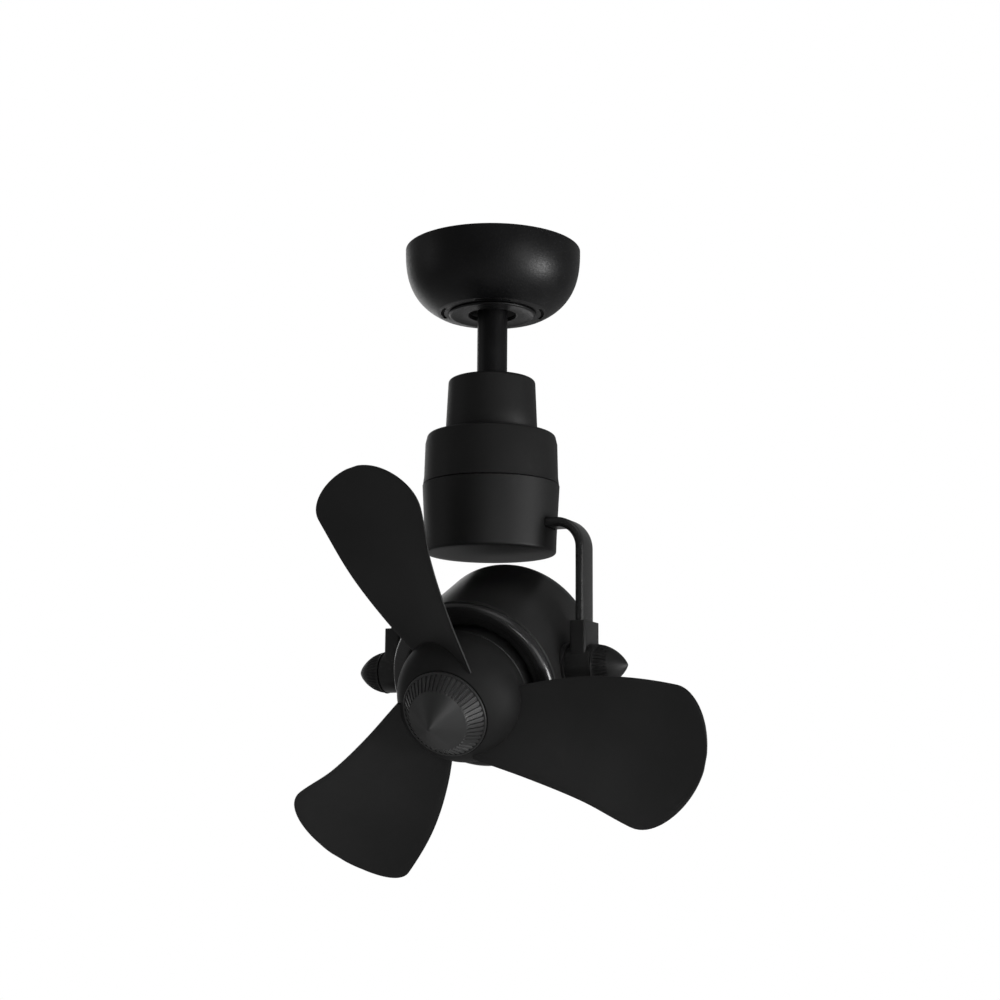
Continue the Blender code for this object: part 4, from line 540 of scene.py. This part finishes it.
def makeLower(c):
    wall, edge = c["wall"], c["edge"]
    foot, rim = c["foot"], c["rim"]
    inner, corner = c["footRadius"] - wall, c["floorCorner"]
    profile = [(0, c["floor"]), (inner - corner, c["floor"]), (inner, c["floor"] + corner)]
    profile += [(c["rimRadius"] - wall, rim), (c["rimRadius"] - c["rimEdge"], rim)]
    profile += [(c["rimRadius"], rim - c["rimEdge"])] + [(r, rim - down) for r, down in c["flank"]]
    profile += cornerArc(c["footRadius"] - edge, foot + edge, edge, 0, -80, 9)
    profile += [(r, foot + up) for r, up in c["dish"]]
    obj = turned("lowerHousingFine", profile, 160)
    joined, cuts = [], []
    lugFoot, padSink = c["lugTop"] - c["lugDeep"], 1
    padTop = arm["rootZ"] - arm["thick"] / 2 - c["padGap"]
    (padIn, padOut), padSide = c["padX"], c["padY"]
    clampX, clampY = c["clampAt"]
    for turn in (0, math.pi):
        spin = Matrix.Rotation(turn, 4, "Z")
        lugTurn = Matrix.Rotation(turn + math.pi / 4, 4, "Z")
        lug = lugTurn @ Matrix.Translation((c["lugAt"] * mm, 0, 0))
        lugScrew = lugTurn @ Matrix.Translation((c["screwAt"] * mm, 0, 0))
        clampScrew = spin @ Matrix.Translation((clampX * mm, clampY * mm, 0))
        joined.append(drill(c["lugRadius"], lugFoot, c["lugTop"], lug, 40))
        cuts.append(drill(c["screwHole"], lugFoot - past, c["lugTop"] + past, lugScrew))
        joined.append(block((padIn, -padSide, c["floor"] - padSink), (padOut, padSide, padTop), spin))
        cuts.append(drill(c["clampHole"], c["floor"] + past, padTop + past, clampScrew))
        opening = armSection(arm, arm["holeGap"])
        settle(opening, Matrix.Translation((padOut * mm, 0, arm["rootZ"] * mm)))
        editing()
        selectAll()
        extrude(c["openingLong"], 0, 0)
        fixNormals()
        backToObject()
        cuts.append(settle(opening, spin))
    carve(obj, *joined, operation="UNION")
    carve(obj, *cuts)
    return smoothed(obj, 30)


finished(makeLower(lower), "yoke", satinPaint, "lower_housing")
print("housings made")

# ---- yoke arms ----


def makeArm(side, way, a):
    obj = armSection(a, 0)
    settle(obj, Matrix.Translation((a["rootX"] * mm, 0, a["rootZ"] * mm)))
    bendX = a["x"] - a["bend"]
    editing("FACE")
    selectAll()
    extrude(bendX - a["rootX"], 0, 0)
    bpy.ops.mesh.spin(steps=a["steps"], angle=math.pi / 2, axis=(0, -1, 0),
                      center=(bendX * mm, 0, (a["rootZ"] - a["bend"]) * mm))
    extrude(0, 0, a["footZ"] - a["rootZ"] + a["bend"])
    bpy.ops.mesh.delete(type="ONLY_FACE")
    weld()
    backToObject()
    # the tube's two ends stay open: any face across it goes, and the rest are turned outwards
    shape = bmesh.new()
    shape.from_mesh(obj.data)
    across = [f for f in shape.faces if len(f.verts) > 4]
    bmesh.ops.delete(shape, geom=across, context="FACES_ONLY")
    bmesh.ops.recalc_face_normals(shape, faces=shape.faces)
    middle = Vector((bendX * mm, 0, a["rootZ"] * mm))
    nearest = min(shape.faces, key=lambda f: (f.calc_center_median() - middle).length)
    if nearest.normal.dot(nearest.calc_center_median() - middle) < 0:
        bmesh.ops.reverse_faces(shape, faces=shape.faces)
    shape.to_mesh(obj.data)
    shape.free()
    modify(obj, "SOLIDIFY", thickness=a["wall"] * mm, offset=-1, use_even_offset=True)
    named(obj, "arm" + side.capitalize() + "Fine")
    settle(obj, Matrix.Rotation(0 if way > 0 else math.pi, 4, "Z"))
    return smoothed(obj, 40)


for side, way in sides.items():
    finished(makeArm(side, way, arm), "yoke", glossPaint, f"arm_{side}")

# ---- pivot fittings, washers, knobs ----

fitting = {"barrel": 17.0, "start": 72.1, "end": 94.8, "edge": 0.8, "bore": 6.3, "socketTop": -319.5,
           "socketFoot": 6, "socketCheek": 3.2, "socketWall": 3.7, "socketEdge": 2.0, "socketBevel": 0.5,
           "pocketGap": 0.3, "pocketDeep": 16.5, "wireWay": 2.0}


def socketBlock(spare, corner, low, high, x):
    # an upright block round the arm's foot, larger than the arm by the spare widths on each side
    obj = roundedPlane(arm["thick"] + 2 * spare[0], arm["wide"] + 2 * spare[1], corner, 6)
    extrude(0, 0, high - low)
    fixNormals()
    backToObject()
    return settle(obj, Matrix.Translation((x * mm, 0, low * mm)))


def makeFitting(side, way, f):
    edge, end = f["edge"], uprightEnd[side]
    profile = [(0, f["end"])] + cornerArc(f["barrel"] - edge, f["end"] - edge, edge, 90, 0, 4)
    profile += cornerArc(f["barrel"] - edge, f["start"] + edge, edge, 0, -90, 4) + [(0, f["start"])]
    obj = turned(f"pivotFitting{side.capitalize()}Fine", profile, 96, end)
    tilt = tiltAt.z / mm
    x = way * arm["x"]
    socket = socketBlock((f["socketCheek"], f["socketWall"]), f["socketEdge"], tilt + f["socketFoot"],
                         f["socketTop"], x)
    modify(socket, "BEVEL", width=f["socketBevel"] * mm, segments=3, limit_method="ANGLE",
           angle_limit=math.radians(60))
    carve(obj, socket, operation="UNION")
    gap, pocketFoot = f["pocketGap"], f["socketTop"] - f["pocketDeep"]
    carve(obj, socketBlock((gap, gap), arm["edge"] + gap, pocketFoot, f["socketTop"] + past, x),
          drill(f["bore"], f["start"] - past, f["end"] + past, end, 48),
          drill(f["wireWay"], tilt, f["socketTop"], Matrix.Translation((x * mm, 0, 0))))
    return smoothed(obj, 30)


for side, way in sides.items():
    finished(makeFitting(side, way, fitting), "yoke", castPaint, f"pivot_fitting_{side}")

washer = {"radius": 18.4, "hole": 6.3, "start": 70.4, "thick": 1.5, "edge": 0.35}


def makeWasher(side, w):
    low, high, edge = w["start"], w["start"] + w["thick"], w["edge"]
    profile = [(w["hole"], high)] + cornerArc(w["radius"] - edge, high - edge, edge, 90, 0, 3)
    profile += cornerArc(w["radius"] - edge, low + edge, edge, 0, -90, 3) + [(w["hole"], low)]
    return turned(f"pivotWasher{side.capitalize()}Fine", profile, 96, tiltEnd[side])


for side in sides:
    finished(makeWasher(side, washer), "yoke", zincSteel, f"pivot_washer_{side}")

knob = {"radius": 17.0, "start": 95.1, "tip": 121.0, "full": 1.9, "tipRound": 0.8, "rings": 26, "bore": 6.3,
        "boreDeep": 108.5, "rim": 17.5, "rimLong": 0.9, "rimEdge": 0.3, "rimGap": 0.2, "ribs": 35,
        "ribDeep": 0.045, "ribFrom": 97.9, "ribTo": 107.0, "ribInner": 8, "gap": (0.4, 0.95)}


def makeKnob(side, k):
    long = k["tip"] - k["start"]
    shares = [math.sin(i / k["rings"] * math.pi / 2) for i in range(k["rings"] + 1)]
    outside = [(k["radius"] * (1 - s ** k["full"]) ** k["tipRound"], k["start"] + s * long)
               for s in shares[:-1]]
    profile = [(0, k["boreDeep"]), (k["bore"], k["boreDeep"]), (k["bore"], k["start"])]
    rim, rimEnd, edge = k["rim"], k["start"] + k["rimLong"], k["rimEdge"]
    profile += [(rim - edge, k["start"]), (rim, k["start"] + edge)]
    profile += [(rim, rimEnd - edge), (rim - edge, rimEnd)]
    profile += [point for point in outside if point[1] > rimEnd + k["rimGap"]] + [(0, k["tip"])]
    obj = turned(f"tiltKnob{side.capitalize()}Fine", profile, k["ribs"] * 6)

    def inGroove(co):
        onBand = k["ribFrom"] * mm < co.z < k["ribTo"] * mm and math.hypot(co.x, co.y) > k["ribInner"] * mm
        return onBand and k["gap"][0] < ribShare(co, k["ribs"]) < k["gap"][1]

    useOnly(obj)
    editing()
    pickVerts(obj, inGroove)
    widen(1 - k["ribDeep"], 0)
    backToObject()
    settle(obj, tiltEnd[side])
    return smoothed(obj, 30)


for side in sides:
    finished(makeKnob(side, knob), f"{side}_knob", satinPaint, f"tilt_knob_{side}")
print("yoke and knobs made")

# ---- motor housing and front ring ----

can = {"radius": 71.36, "wall": 2.5, "front": 31.0, "corner": 21.5, "cornerAt": -50.0, "bulge": 4.4,
       "domeSteps": (0.12, 0.3, 0.5, 0.7, 0.86), "domeEnd": 84, "sideRings": (-20, 6), "edge": 0.8,
       "ledge": 62.0, "ledgeTop": -24.3, "ledgeHigh": 9.7, "boss": 18.7, "bossFrom": 62.0, "seat": 70.1,
       "seatRadius": 19.2, "bore": 6.3}


def makeCan(c):
    wall, corner, inner, end = c["wall"], c["corner"], c["radius"] - c["wall"], c["domeEnd"]
    flat, back, ledgeFoot = c["radius"] - corner, c["cornerAt"] - corner, c["ledgeTop"] - c["ledgeHigh"]
    dome = [(flat * t, back - c["bulge"] * (1 - t * t)) for t in c["domeSteps"]]
    profile = [(0, back - c["bulge"])] + dome + cornerArc(flat, c["cornerAt"], corner, -end, 0, 14)
    profile += [(c["radius"], z) for z in c["sideRings"]] + [(c["radius"], c["front"] - c["edge"])]
    profile += [(c["radius"] - c["edge"], c["front"]), (inner, c["front"]), (inner, c["ledgeTop"])]
    profile += [(c["ledge"], c["ledgeTop"]), (c["ledge"], ledgeFoot), (inner, ledgeFoot - wall)]
    profile += cornerArc(flat, c["cornerAt"], corner - wall, 0, -end, 8)
    profile += [(flat * 0.5, back - c["bulge"] * 0.75 + wall), (0, back - c["bulge"] + wall)]
    obj = turned("motorHousingFine", profile, 160, head)
    for side in sides:
        carve(obj, drill(c["boss"], c["bossFrom"], c["seat"], tiltEnd[side], 96), operation="UNION")
        carve(obj, drill(c["bore"], c["bossFrom"] - past, c["seat"] + past, tiltEnd[side], 48),
              drill(c["seatRadius"], c["seat"], c["radius"] + past, tiltEnd[side], 96))
    return smoothed(obj, 30)


finished(makeCan(can), "head", castPaint, "motor_housing")

ring = {"lip": 70.3, "lipWide": 4.5, "front": 38.0, "back": 31.3, "bore": 51.5, "boreBack": 31.0, "wall": 2.2,
        "sleeve": 68.7, "sleeveBack": 22.0}


def makeRing(r):
    # a crest near the lip, a long slope in to the bore, and a sleeve inside the can
    lip, wall, inner = r["lipWide"], r["wall"], r["sleeve"] - r["wall"]
    crest, rise, fall = r["lip"] - lip, r["front"] - r["back"], r["front"] - r["boreBack"]
    slope = crest - r["bore"]
    meets = math.acos((inner - crest) / (lip - wall))

    def quarter(wide, back, deep, start, end, steps):
        return [(crest + wide * x, back + deep * z) for x, z in cornerArc(0, 0, 1, start, end, steps)]

    profile = quarter(lip, r["back"], rise, 0, 90, 12) + quarter(slope, r["boreBack"], fall, 90, 180, 24)[1:]
    profile += quarter(slope - wall, r["boreBack"], fall - wall, 180, 90, 12)
    profile += [(inner, r["back"] + (rise - wall) * math.sin(meets))]
    profile += [(inner, r["sleeveBack"]), (r["sleeve"], r["sleeveBack"]), (r["sleeve"], r["back"])]
    return turned("frontRingFine", profile, 200, head)


finished(makeRing(ring), "head", glossPaint, "front_ring")
print("motor housing and ring made")

# ---- rotor ----

rotorCan = {"radius": 50.0, "wall": 2.4, "edge": 1.5, "back": -8.0, "front": 43.0, "plate": 3.0,
            "boss": 12.0, "bossBack": 30.0, "hole": 5.3}


def makeRotorCan(r):
    inner, plateBack, edge = r["radius"] - r["wall"], r["front"] - r["plate"], r["edge"]
    profile = [(r["hole"], r["front"]), (r["radius"] - edge, r["front"]), (r["radius"], r["front"] - edge)]
    profile += [(r["radius"], r["back"]), (inner, r["back"]), (inner, plateBack), (r["boss"], plateBack)]
    profile += [(r["boss"], r["bossBack"]), (r["hole"], r["bossBack"])]
    return turned("rotorCanFine", profile, 120, head)


finished(makeRotorCan(rotorCan), "rotor", castPaint, "rotor_can")

hub = {"radius": 52.8, "widest": 55.0, "front": 86.7, "frontRadius": 36.0, "back": 46.0, "backRadius": 51.8,
       "backEdge": ((0.3, 1), (0, 0.2)), "wall": 2.4, "rings": 18, "hole": 5.3}
hub["deep"] = (hub["front"] - hub["widest"]) / math.sqrt(1 - (hub["frontRadius"] / hub["radius"]) ** 2)


def hubDome(radius, deep, front, rings):
    start = math.asin((front - hub["widest"]) / deep)
    turns = [start * (1 - i / rings) for i in range(rings + 1)]
    return [(radius * math.cos(a), hub["widest"] + deep * math.sin(a)) for a in turns]


def makeHub(h):
    wall = h["wall"]
    outside = hubDome(h["radius"], h["deep"], h["front"], h["rings"])
    inside = hubDome(h["radius"] - wall, h["deep"] - wall, h["front"] - wall, 8)
    profile = [(h["hole"], h["front"])] + outside
    profile += [(h["backRadius"] + out, h["back"] + up) for out, up in h["backEdge"]]
    profile += [(h["backRadius"] - wall, h["back"])] + inside[::-1] + [(h["hole"], h["front"] - wall)]
    return turned("hubShellFine", profile, 160, head)


finished(makeHub(hub), "rotor", hubPlastic, "hub_shell")

# a station is a radius, the chord ahead of and behind the middle line, the pitch in degrees and how far
# forward the middle line lies there
blade = {"stations": (
             (8, 6.0, 38.5, 29.5, 64.0), (29, 16.0, 39.5, 27.5, 65.5), (70, 35.5, 41.3, 23.5, 68.6),
             (116, 50.0, 47.0, 19.5, 69.7), (163, 55.9, 58.9, 16.5, 68.5), (203, 56.75, 58.95, 15.5, 70.5)),
         "root": 24.0, "tip": 201.05, "roundEnd": 0.3, "aheadRound": 171.4, "behindRound": 156.2,
         "roundness": 1.87, "camber": 0.078, "rootThick": 3.4, "tipThick": 2.0, "edgeShare": 0.35,
         "edgeFall": 6, "tipFall": 14, "spanSteps": 56, "chordSteps": 24}


def alongBlade(column, radius):
    # a smooth curve through one column of the stations
    rows = blade["stations"]
    radii = [row[0] for row in rows]
    values = [row[column] for row in rows]
    last = len(rows) - 1

    def slope(i):
        if i == 0:
            return (values[1] - values[0]) / (radii[1] - radii[0])
        if i == last:
            return (values[last] - values[last - 1]) / (radii[last] - radii[last - 1])
        before, after = radii[i] - radii[i - 1], radii[i + 1] - radii[i]
        down, up = (values[i] - values[i - 1]) / before, (values[i + 1] - values[i]) / after
        return (after * down + before * up) / (before + after)

    i = max(j for j in range(last) if radii[j] <= radius or j == 0)
    wide = radii[i + 1] - radii[i]
    t = (radius - radii[i]) / wide
    start = values[i] * (1 + 2 * t) * (1 - t) ** 2 + slope(i) * wide * t * (1 - t) ** 2
    return start + values[i + 1] * t ** 2 * (3 - 2 * t) + slope(i + 1) * wide * t ** 2 * (t - 1)


def bladeSpot(radius, s, lift):
    ahead, behind = alongBlade(1, radius), alongBlade(2, radius)
    start = blade["aheadRound"] if s > 0 else blade["behindRound"]
    run = min(max((radius - start) / (blade["tip"] + blade["roundEnd"] - start), 0), 1)
    share = s * (1 - run ** blade["roundness"]) ** (1 / blade["roundness"])
    pitch, forward = math.radians(alongBlade(3, radius)), alongBlade(4, radius)
    across = share * (ahead if share > 0 else behind)
    camber = blade["camber"] * (ahead + behind) * (1 - share ** 2)
    y = across * math.cos(pitch) + lift * math.sin(pitch)
    z = forward - across * math.sin(pitch) - camber + lift * math.cos(pitch)
    return Vector((radius, y, z)) * mm


def makeBlade(number):
    # a flat grid drawn out over the blade's plan, then given its swept, pitched and cambered skin
    spans, chords = blade["spanSteps"], blade["chordSteps"]
    clearSelection()
    bpy.ops.mesh.primitive_grid_add(x_subdivisions=spans, y_subdivisions=chords, size=2, location=(0, 0, 0))
    obj = current()
    editing("FACE")
    selectAll()
    extrude(0, 0, 1 / mm)
    fixNormals()
    backToObject()
    for v in obj.data.vertices:
        u, s = (v.co.x + 1) / 2, v.co.y
        side = 1 if v.co.z > 0.5 else -1
        radius = blade["root"] + (blade["tip"] - blade["root"]) * math.sin(u * math.pi / 2)
        thick = blade["rootThick"] + (blade["tipThick"] - blade["rootThick"]) * u
        nearEdge = min(1, (1 - abs(s)) * blade["edgeFall"]) * min(1, (1 - u) * blade["tipFall"])
        swell = blade["edgeShare"] + (1 - blade["edgeShare"]) * math.sqrt(max(0, 1 - (1 - nearEdge) ** 2))
        v.co = bladeSpot(radius, s, side * thick * swell / 2)
    useOnly(obj)
    editing()
    fixNormals()
    backToObject()
    named(obj, f"blade{number + 1}Fine")
    settle(obj, head @ Matrix.Rotation(bladeTurn[number], 4, "Z"))
    return smoothed(obj, 50)


for number in range(3):
    finished(makeBlade(number), "rotor", bladePlastic, f"blade_{number + 1}")

spinner = {"back": 87.0, "radius": 35.2, "rim": 2.0, "rimRound": 0.9, "bandBack": 33.6, "bandFront": 24.8,
           "bandEnd": 99.8, "cone": 24.2, "coneRound": 0.5, "tip": 117.1, "tipRound": 3.0, "wall": 2.5,
           "boss": 9.0, "hole": 5.3, "holeEnd": 103.3, "edge": 0.3, "ribs": 48, "ribDeep": 1.5,
           "gap": (0.55, 0.95)}


def makeSpinner(s):
    back, rimFront, wall, soft = s["back"], s["back"] + s["rim"], s["wall"], s["rimRound"]
    bandFrom, bandTo = (s["bandBack"], rimFront), (s["bandFront"], s["bandEnd"])

    def between(start, end, shares):
        return [(start[0] + (end[0] - start[0]) * t, start[1] + (end[1] - start[1]) * t) for t in shares]

    profile = [(0, s["holeEnd"]), (s["hole"], s["holeEnd"]), (s["hole"], back)]
    profile += [(s["boss"], back), (s["boss"], s["bandEnd"])]
    profile += [(s["cone"] - wall, s["bandEnd"] - wall), (s["bandBack"] - wall, rimFront)]
    profile += [(s["bandBack"] - wall, back), (s["radius"] - s["edge"], back)]
    profile += cornerArc(s["radius"] - soft, rimFront - soft, soft, 0, 90, 5)
    profile += between(bandFrom, bandTo, (0.0, 0.04, 0.3, 0.6, 0.97, 1.0))
    # the band's front corner is rounded, and the cone starts just ahead of it
    edge = (s["cone"] - 0.2, s["bandEnd"] + 0.5)
    profile += cornerArc(s["cone"] - s["coneRound"], s["bandEnd"] + 0.1, s["coneRound"], 20, 60, 3)
    # the cone runs up to touch the ball that rounds its tip
    ball = s["tip"] - s["tipRound"]
    reach = math.hypot(edge[0], edge[1] - ball)
    touch = math.degrees(math.atan2(edge[1] - ball, edge[0]) + math.acos(s["tipRound"] / reach))
    tipArc = cornerArc(0, ball, s["tipRound"], touch, 90, 6)[:-1]
    profile += between(edge, tipArc[0], (0.1, 0.4, 0.7)) + tipArc + [(0, s["tip"])]
    obj = turned("spinnerFine", profile, s["ribs"] * 8)

    def inGroove(co):
        r, z = math.hypot(co.x, co.y) / mm, co.z / mm
        onBand = bandTo[1] + 0.05 > z > bandFrom[1] + 0.2 and r > s["cone"] + s["edge"]
        return onBand and s["gap"][0] < ribShare(co, s["ribs"]) < s["gap"][1]

    useOnly(obj)
    editing()
    pickVerts(obj, inGroove)
    bpy.ops.transform.translate(value=(0, 0, -s["ribDeep"] * mm))
    backToObject()
    settle(obj, head)
    return smoothed(obj, 28)


finished(makeSpinner(spinner), "rotor", spinnerPlastic, "spinner_cap")
print("rotor made")

# ---- carried-over pieces ----

keptLooks = {
    "steel": zincSteel, "black_screw": blackOxide, "white_plastic": whiteNylon, "rubber": darkRubber,
    "copper": woundCopper, "laminations": stackedSteel, "magnet": ferrite, "board": circuitBoard,
    "black_plastic": hubPlastic, "black_paint": satinPaint, "powder_coat": powderCoat}
slotOf = {part["node"]: part["material_slot"] for part in frame["record"]["subparts"]}
for name, obj in nodes.items():
    for slot in obj.material_slots:
        slot.material = keptLooks[slotOf[name]]
print("finishes given to", len(nodes), "kept pieces")

# ---- stage ----

studio = {"floorSize": 4, "floorAt": -0.95, "paper": "#f0f0f0", "paperGlow": 0.45, "white": "#ffffff",
          "skyLight": 0.22, "skySeen": 1.0}

# white paper: soft light from below, the fan's shadow, and a lift for the camera's eye alone
floorPaper, floorTree = emptyMaterial("mattePaper")
floorPath = addNode(floorTree, "ShaderNodeLightPath")
floorGlow = addNode(floorTree, "ShaderNodeMath", {
    0: floorPath.outputs["Is Camera Ray"], 1: studio["paperGlow"]}, operation="MULTIPLY")
glow = addNode(floorTree, "ShaderNodeEmission", {
    "Color": toLinear(studio["white"]), "Strength": floorGlow.outputs[0]})
paper = addNode(floorTree, "ShaderNodeBsdfDiffuse", {"Color": toLinear(studio["paper"])})
lifted = addNode(floorTree, "ShaderNodeAddShader", {0: paper.outputs[0], 1: glow.outputs[0]})
finishMaterial(floorTree, lifted)
clearSelection()
bpy.ops.mesh.primitive_plane_add(size=studio["floorSize"], location=(0, 0, studio["floorAt"]))
floor = named(current(), "studioFloor")
floor.data.materials.append(floorPaper)

world = bpy.data.worlds.new("studio")
bpy.context.scene.world = world
world.use_nodes = True
worldTree = world.node_tree
worldTree.nodes.clear()
# a white background for the camera, and a dimmer sky for the light that falls on the fan
path = addNode(worldTree, "ShaderNodeLightPath")
strength = addNode(worldTree, "ShaderNodeMapRange", {
    "Value": path.outputs["Is Camera Ray"], "To Min": studio["skyLight"], "To Max": studio["skySeen"]})
sky = addNode(worldTree, "ShaderNodeBackground", {
    "Color": toLinear(studio["white"]), "Strength": strength.outputs["Result"]})
addNode(worldTree, "ShaderNodeOutputWorld", {"Surface": sky.outputs[0]})

# ---- camera ----

view = {"azimuth": 26.1, "distance": 1.3865, "height": -0.468, "yaw": 0.31, "pitch": 10.35, "roll": 0.43,
        "lens": 61.2, "sensor": 36, "near": 0.01}


def placeCamera(v):
    turn, yaw, pitch, roll = (math.radians(v[key]) for key in ("azimuth", "yaw", "pitch", "roll"))
    place = Vector((v["distance"] * math.sin(turn), -v["distance"] * math.cos(turn), v["height"]))
    ahead = Vector((math.sin(yaw) * math.cos(pitch), math.cos(yaw) * math.cos(pitch), math.sin(pitch)))
    ahead = Matrix.Rotation(turn, 3, "Z") @ ahead
    right = ahead.cross(Vector((0, 0, 1))).normalized()
    up = right.cross(ahead)
    right = math.cos(roll) * right + math.sin(roll) * up
    up = right.cross(ahead)
    bpy.ops.object.camera_add()
    camera = current()
    axes = Matrix((right, up, -ahead)).transposed().to_4x4()
    camera.matrix_world = Matrix.Translation(place) @ axes
    camera.data.lens = v["lens"]
    camera.data.sensor_width = v["sensor"]
    camera.data.clip_start = v["near"]
    bpy.context.scene.camera = camera


placeCamera(view)

# ---- lights ----

# degrees round the fan from the camera and above it, metres and watts; the height aimed at and the
# spread of the light are the usual ones where a lamp names none
usual = {"aim": -0.27, "spread": 180}
lamps = (
    {"name": "keySoftbox", "azimuth": 70, "elevation": -13, "distance": 1.9, "size": (0.7, 0.6), "power": 27},
    {"name": "fillSoftbox", "azimuth": 40, "elevation": -4, "distance": 1.9, "size": (0.8, 0.9), "power": 6},
    {"name": "topSoftbox", "azimuth": 10, "elevation": 52, "distance": 2.0, "size": (1.3, 1.0), "power": 4},
    {"name": "leftSoftbox", "azimuth": -88, "elevation": 10, "distance": 1.9, "size": (0.7, 1.0), "power": 1},
    {"name": "backSoftbox", "azimuth": 200, "elevation": 8, "distance": 1.9, "size": (1.2, 1.2), "power": 5},
    {"name": "gridSpot", "azimuth": 4, "elevation": 3, "distance": 1.6, "size": (0.3, 0.3), "power": 0.065,
     "aim": -0.40, "spread": 20},
)


def placeLamp(lamp):
    centre = Vector((0, 0, lamp["aim"]))
    turn = math.radians(view["azimuth"] + lamp["azimuth"])
    rise = math.radians(lamp["elevation"])
    away = Vector((math.sin(turn) * math.cos(rise), -math.cos(turn) * math.cos(rise), math.sin(rise)))
    bpy.ops.object.light_add(type="AREA", location=centre + away * lamp["distance"])
    light = current()
    light.name = lamp["name"]
    light.rotation_euler = away.to_track_quat("Z", "Y").to_euler()
    light.data.shape = "RECTANGLE"
    light.data.size, light.data.size_y = lamp["size"]
    light.data.energy = lamp["power"]
    light.data.spread = math.radians(lamp["spread"])


for lamp in lamps:
    placeLamp({**usual, **lamp})
bpy.context.scene.view_settings.view_transform = "Standard"
print("stage, camera and lamps placed")
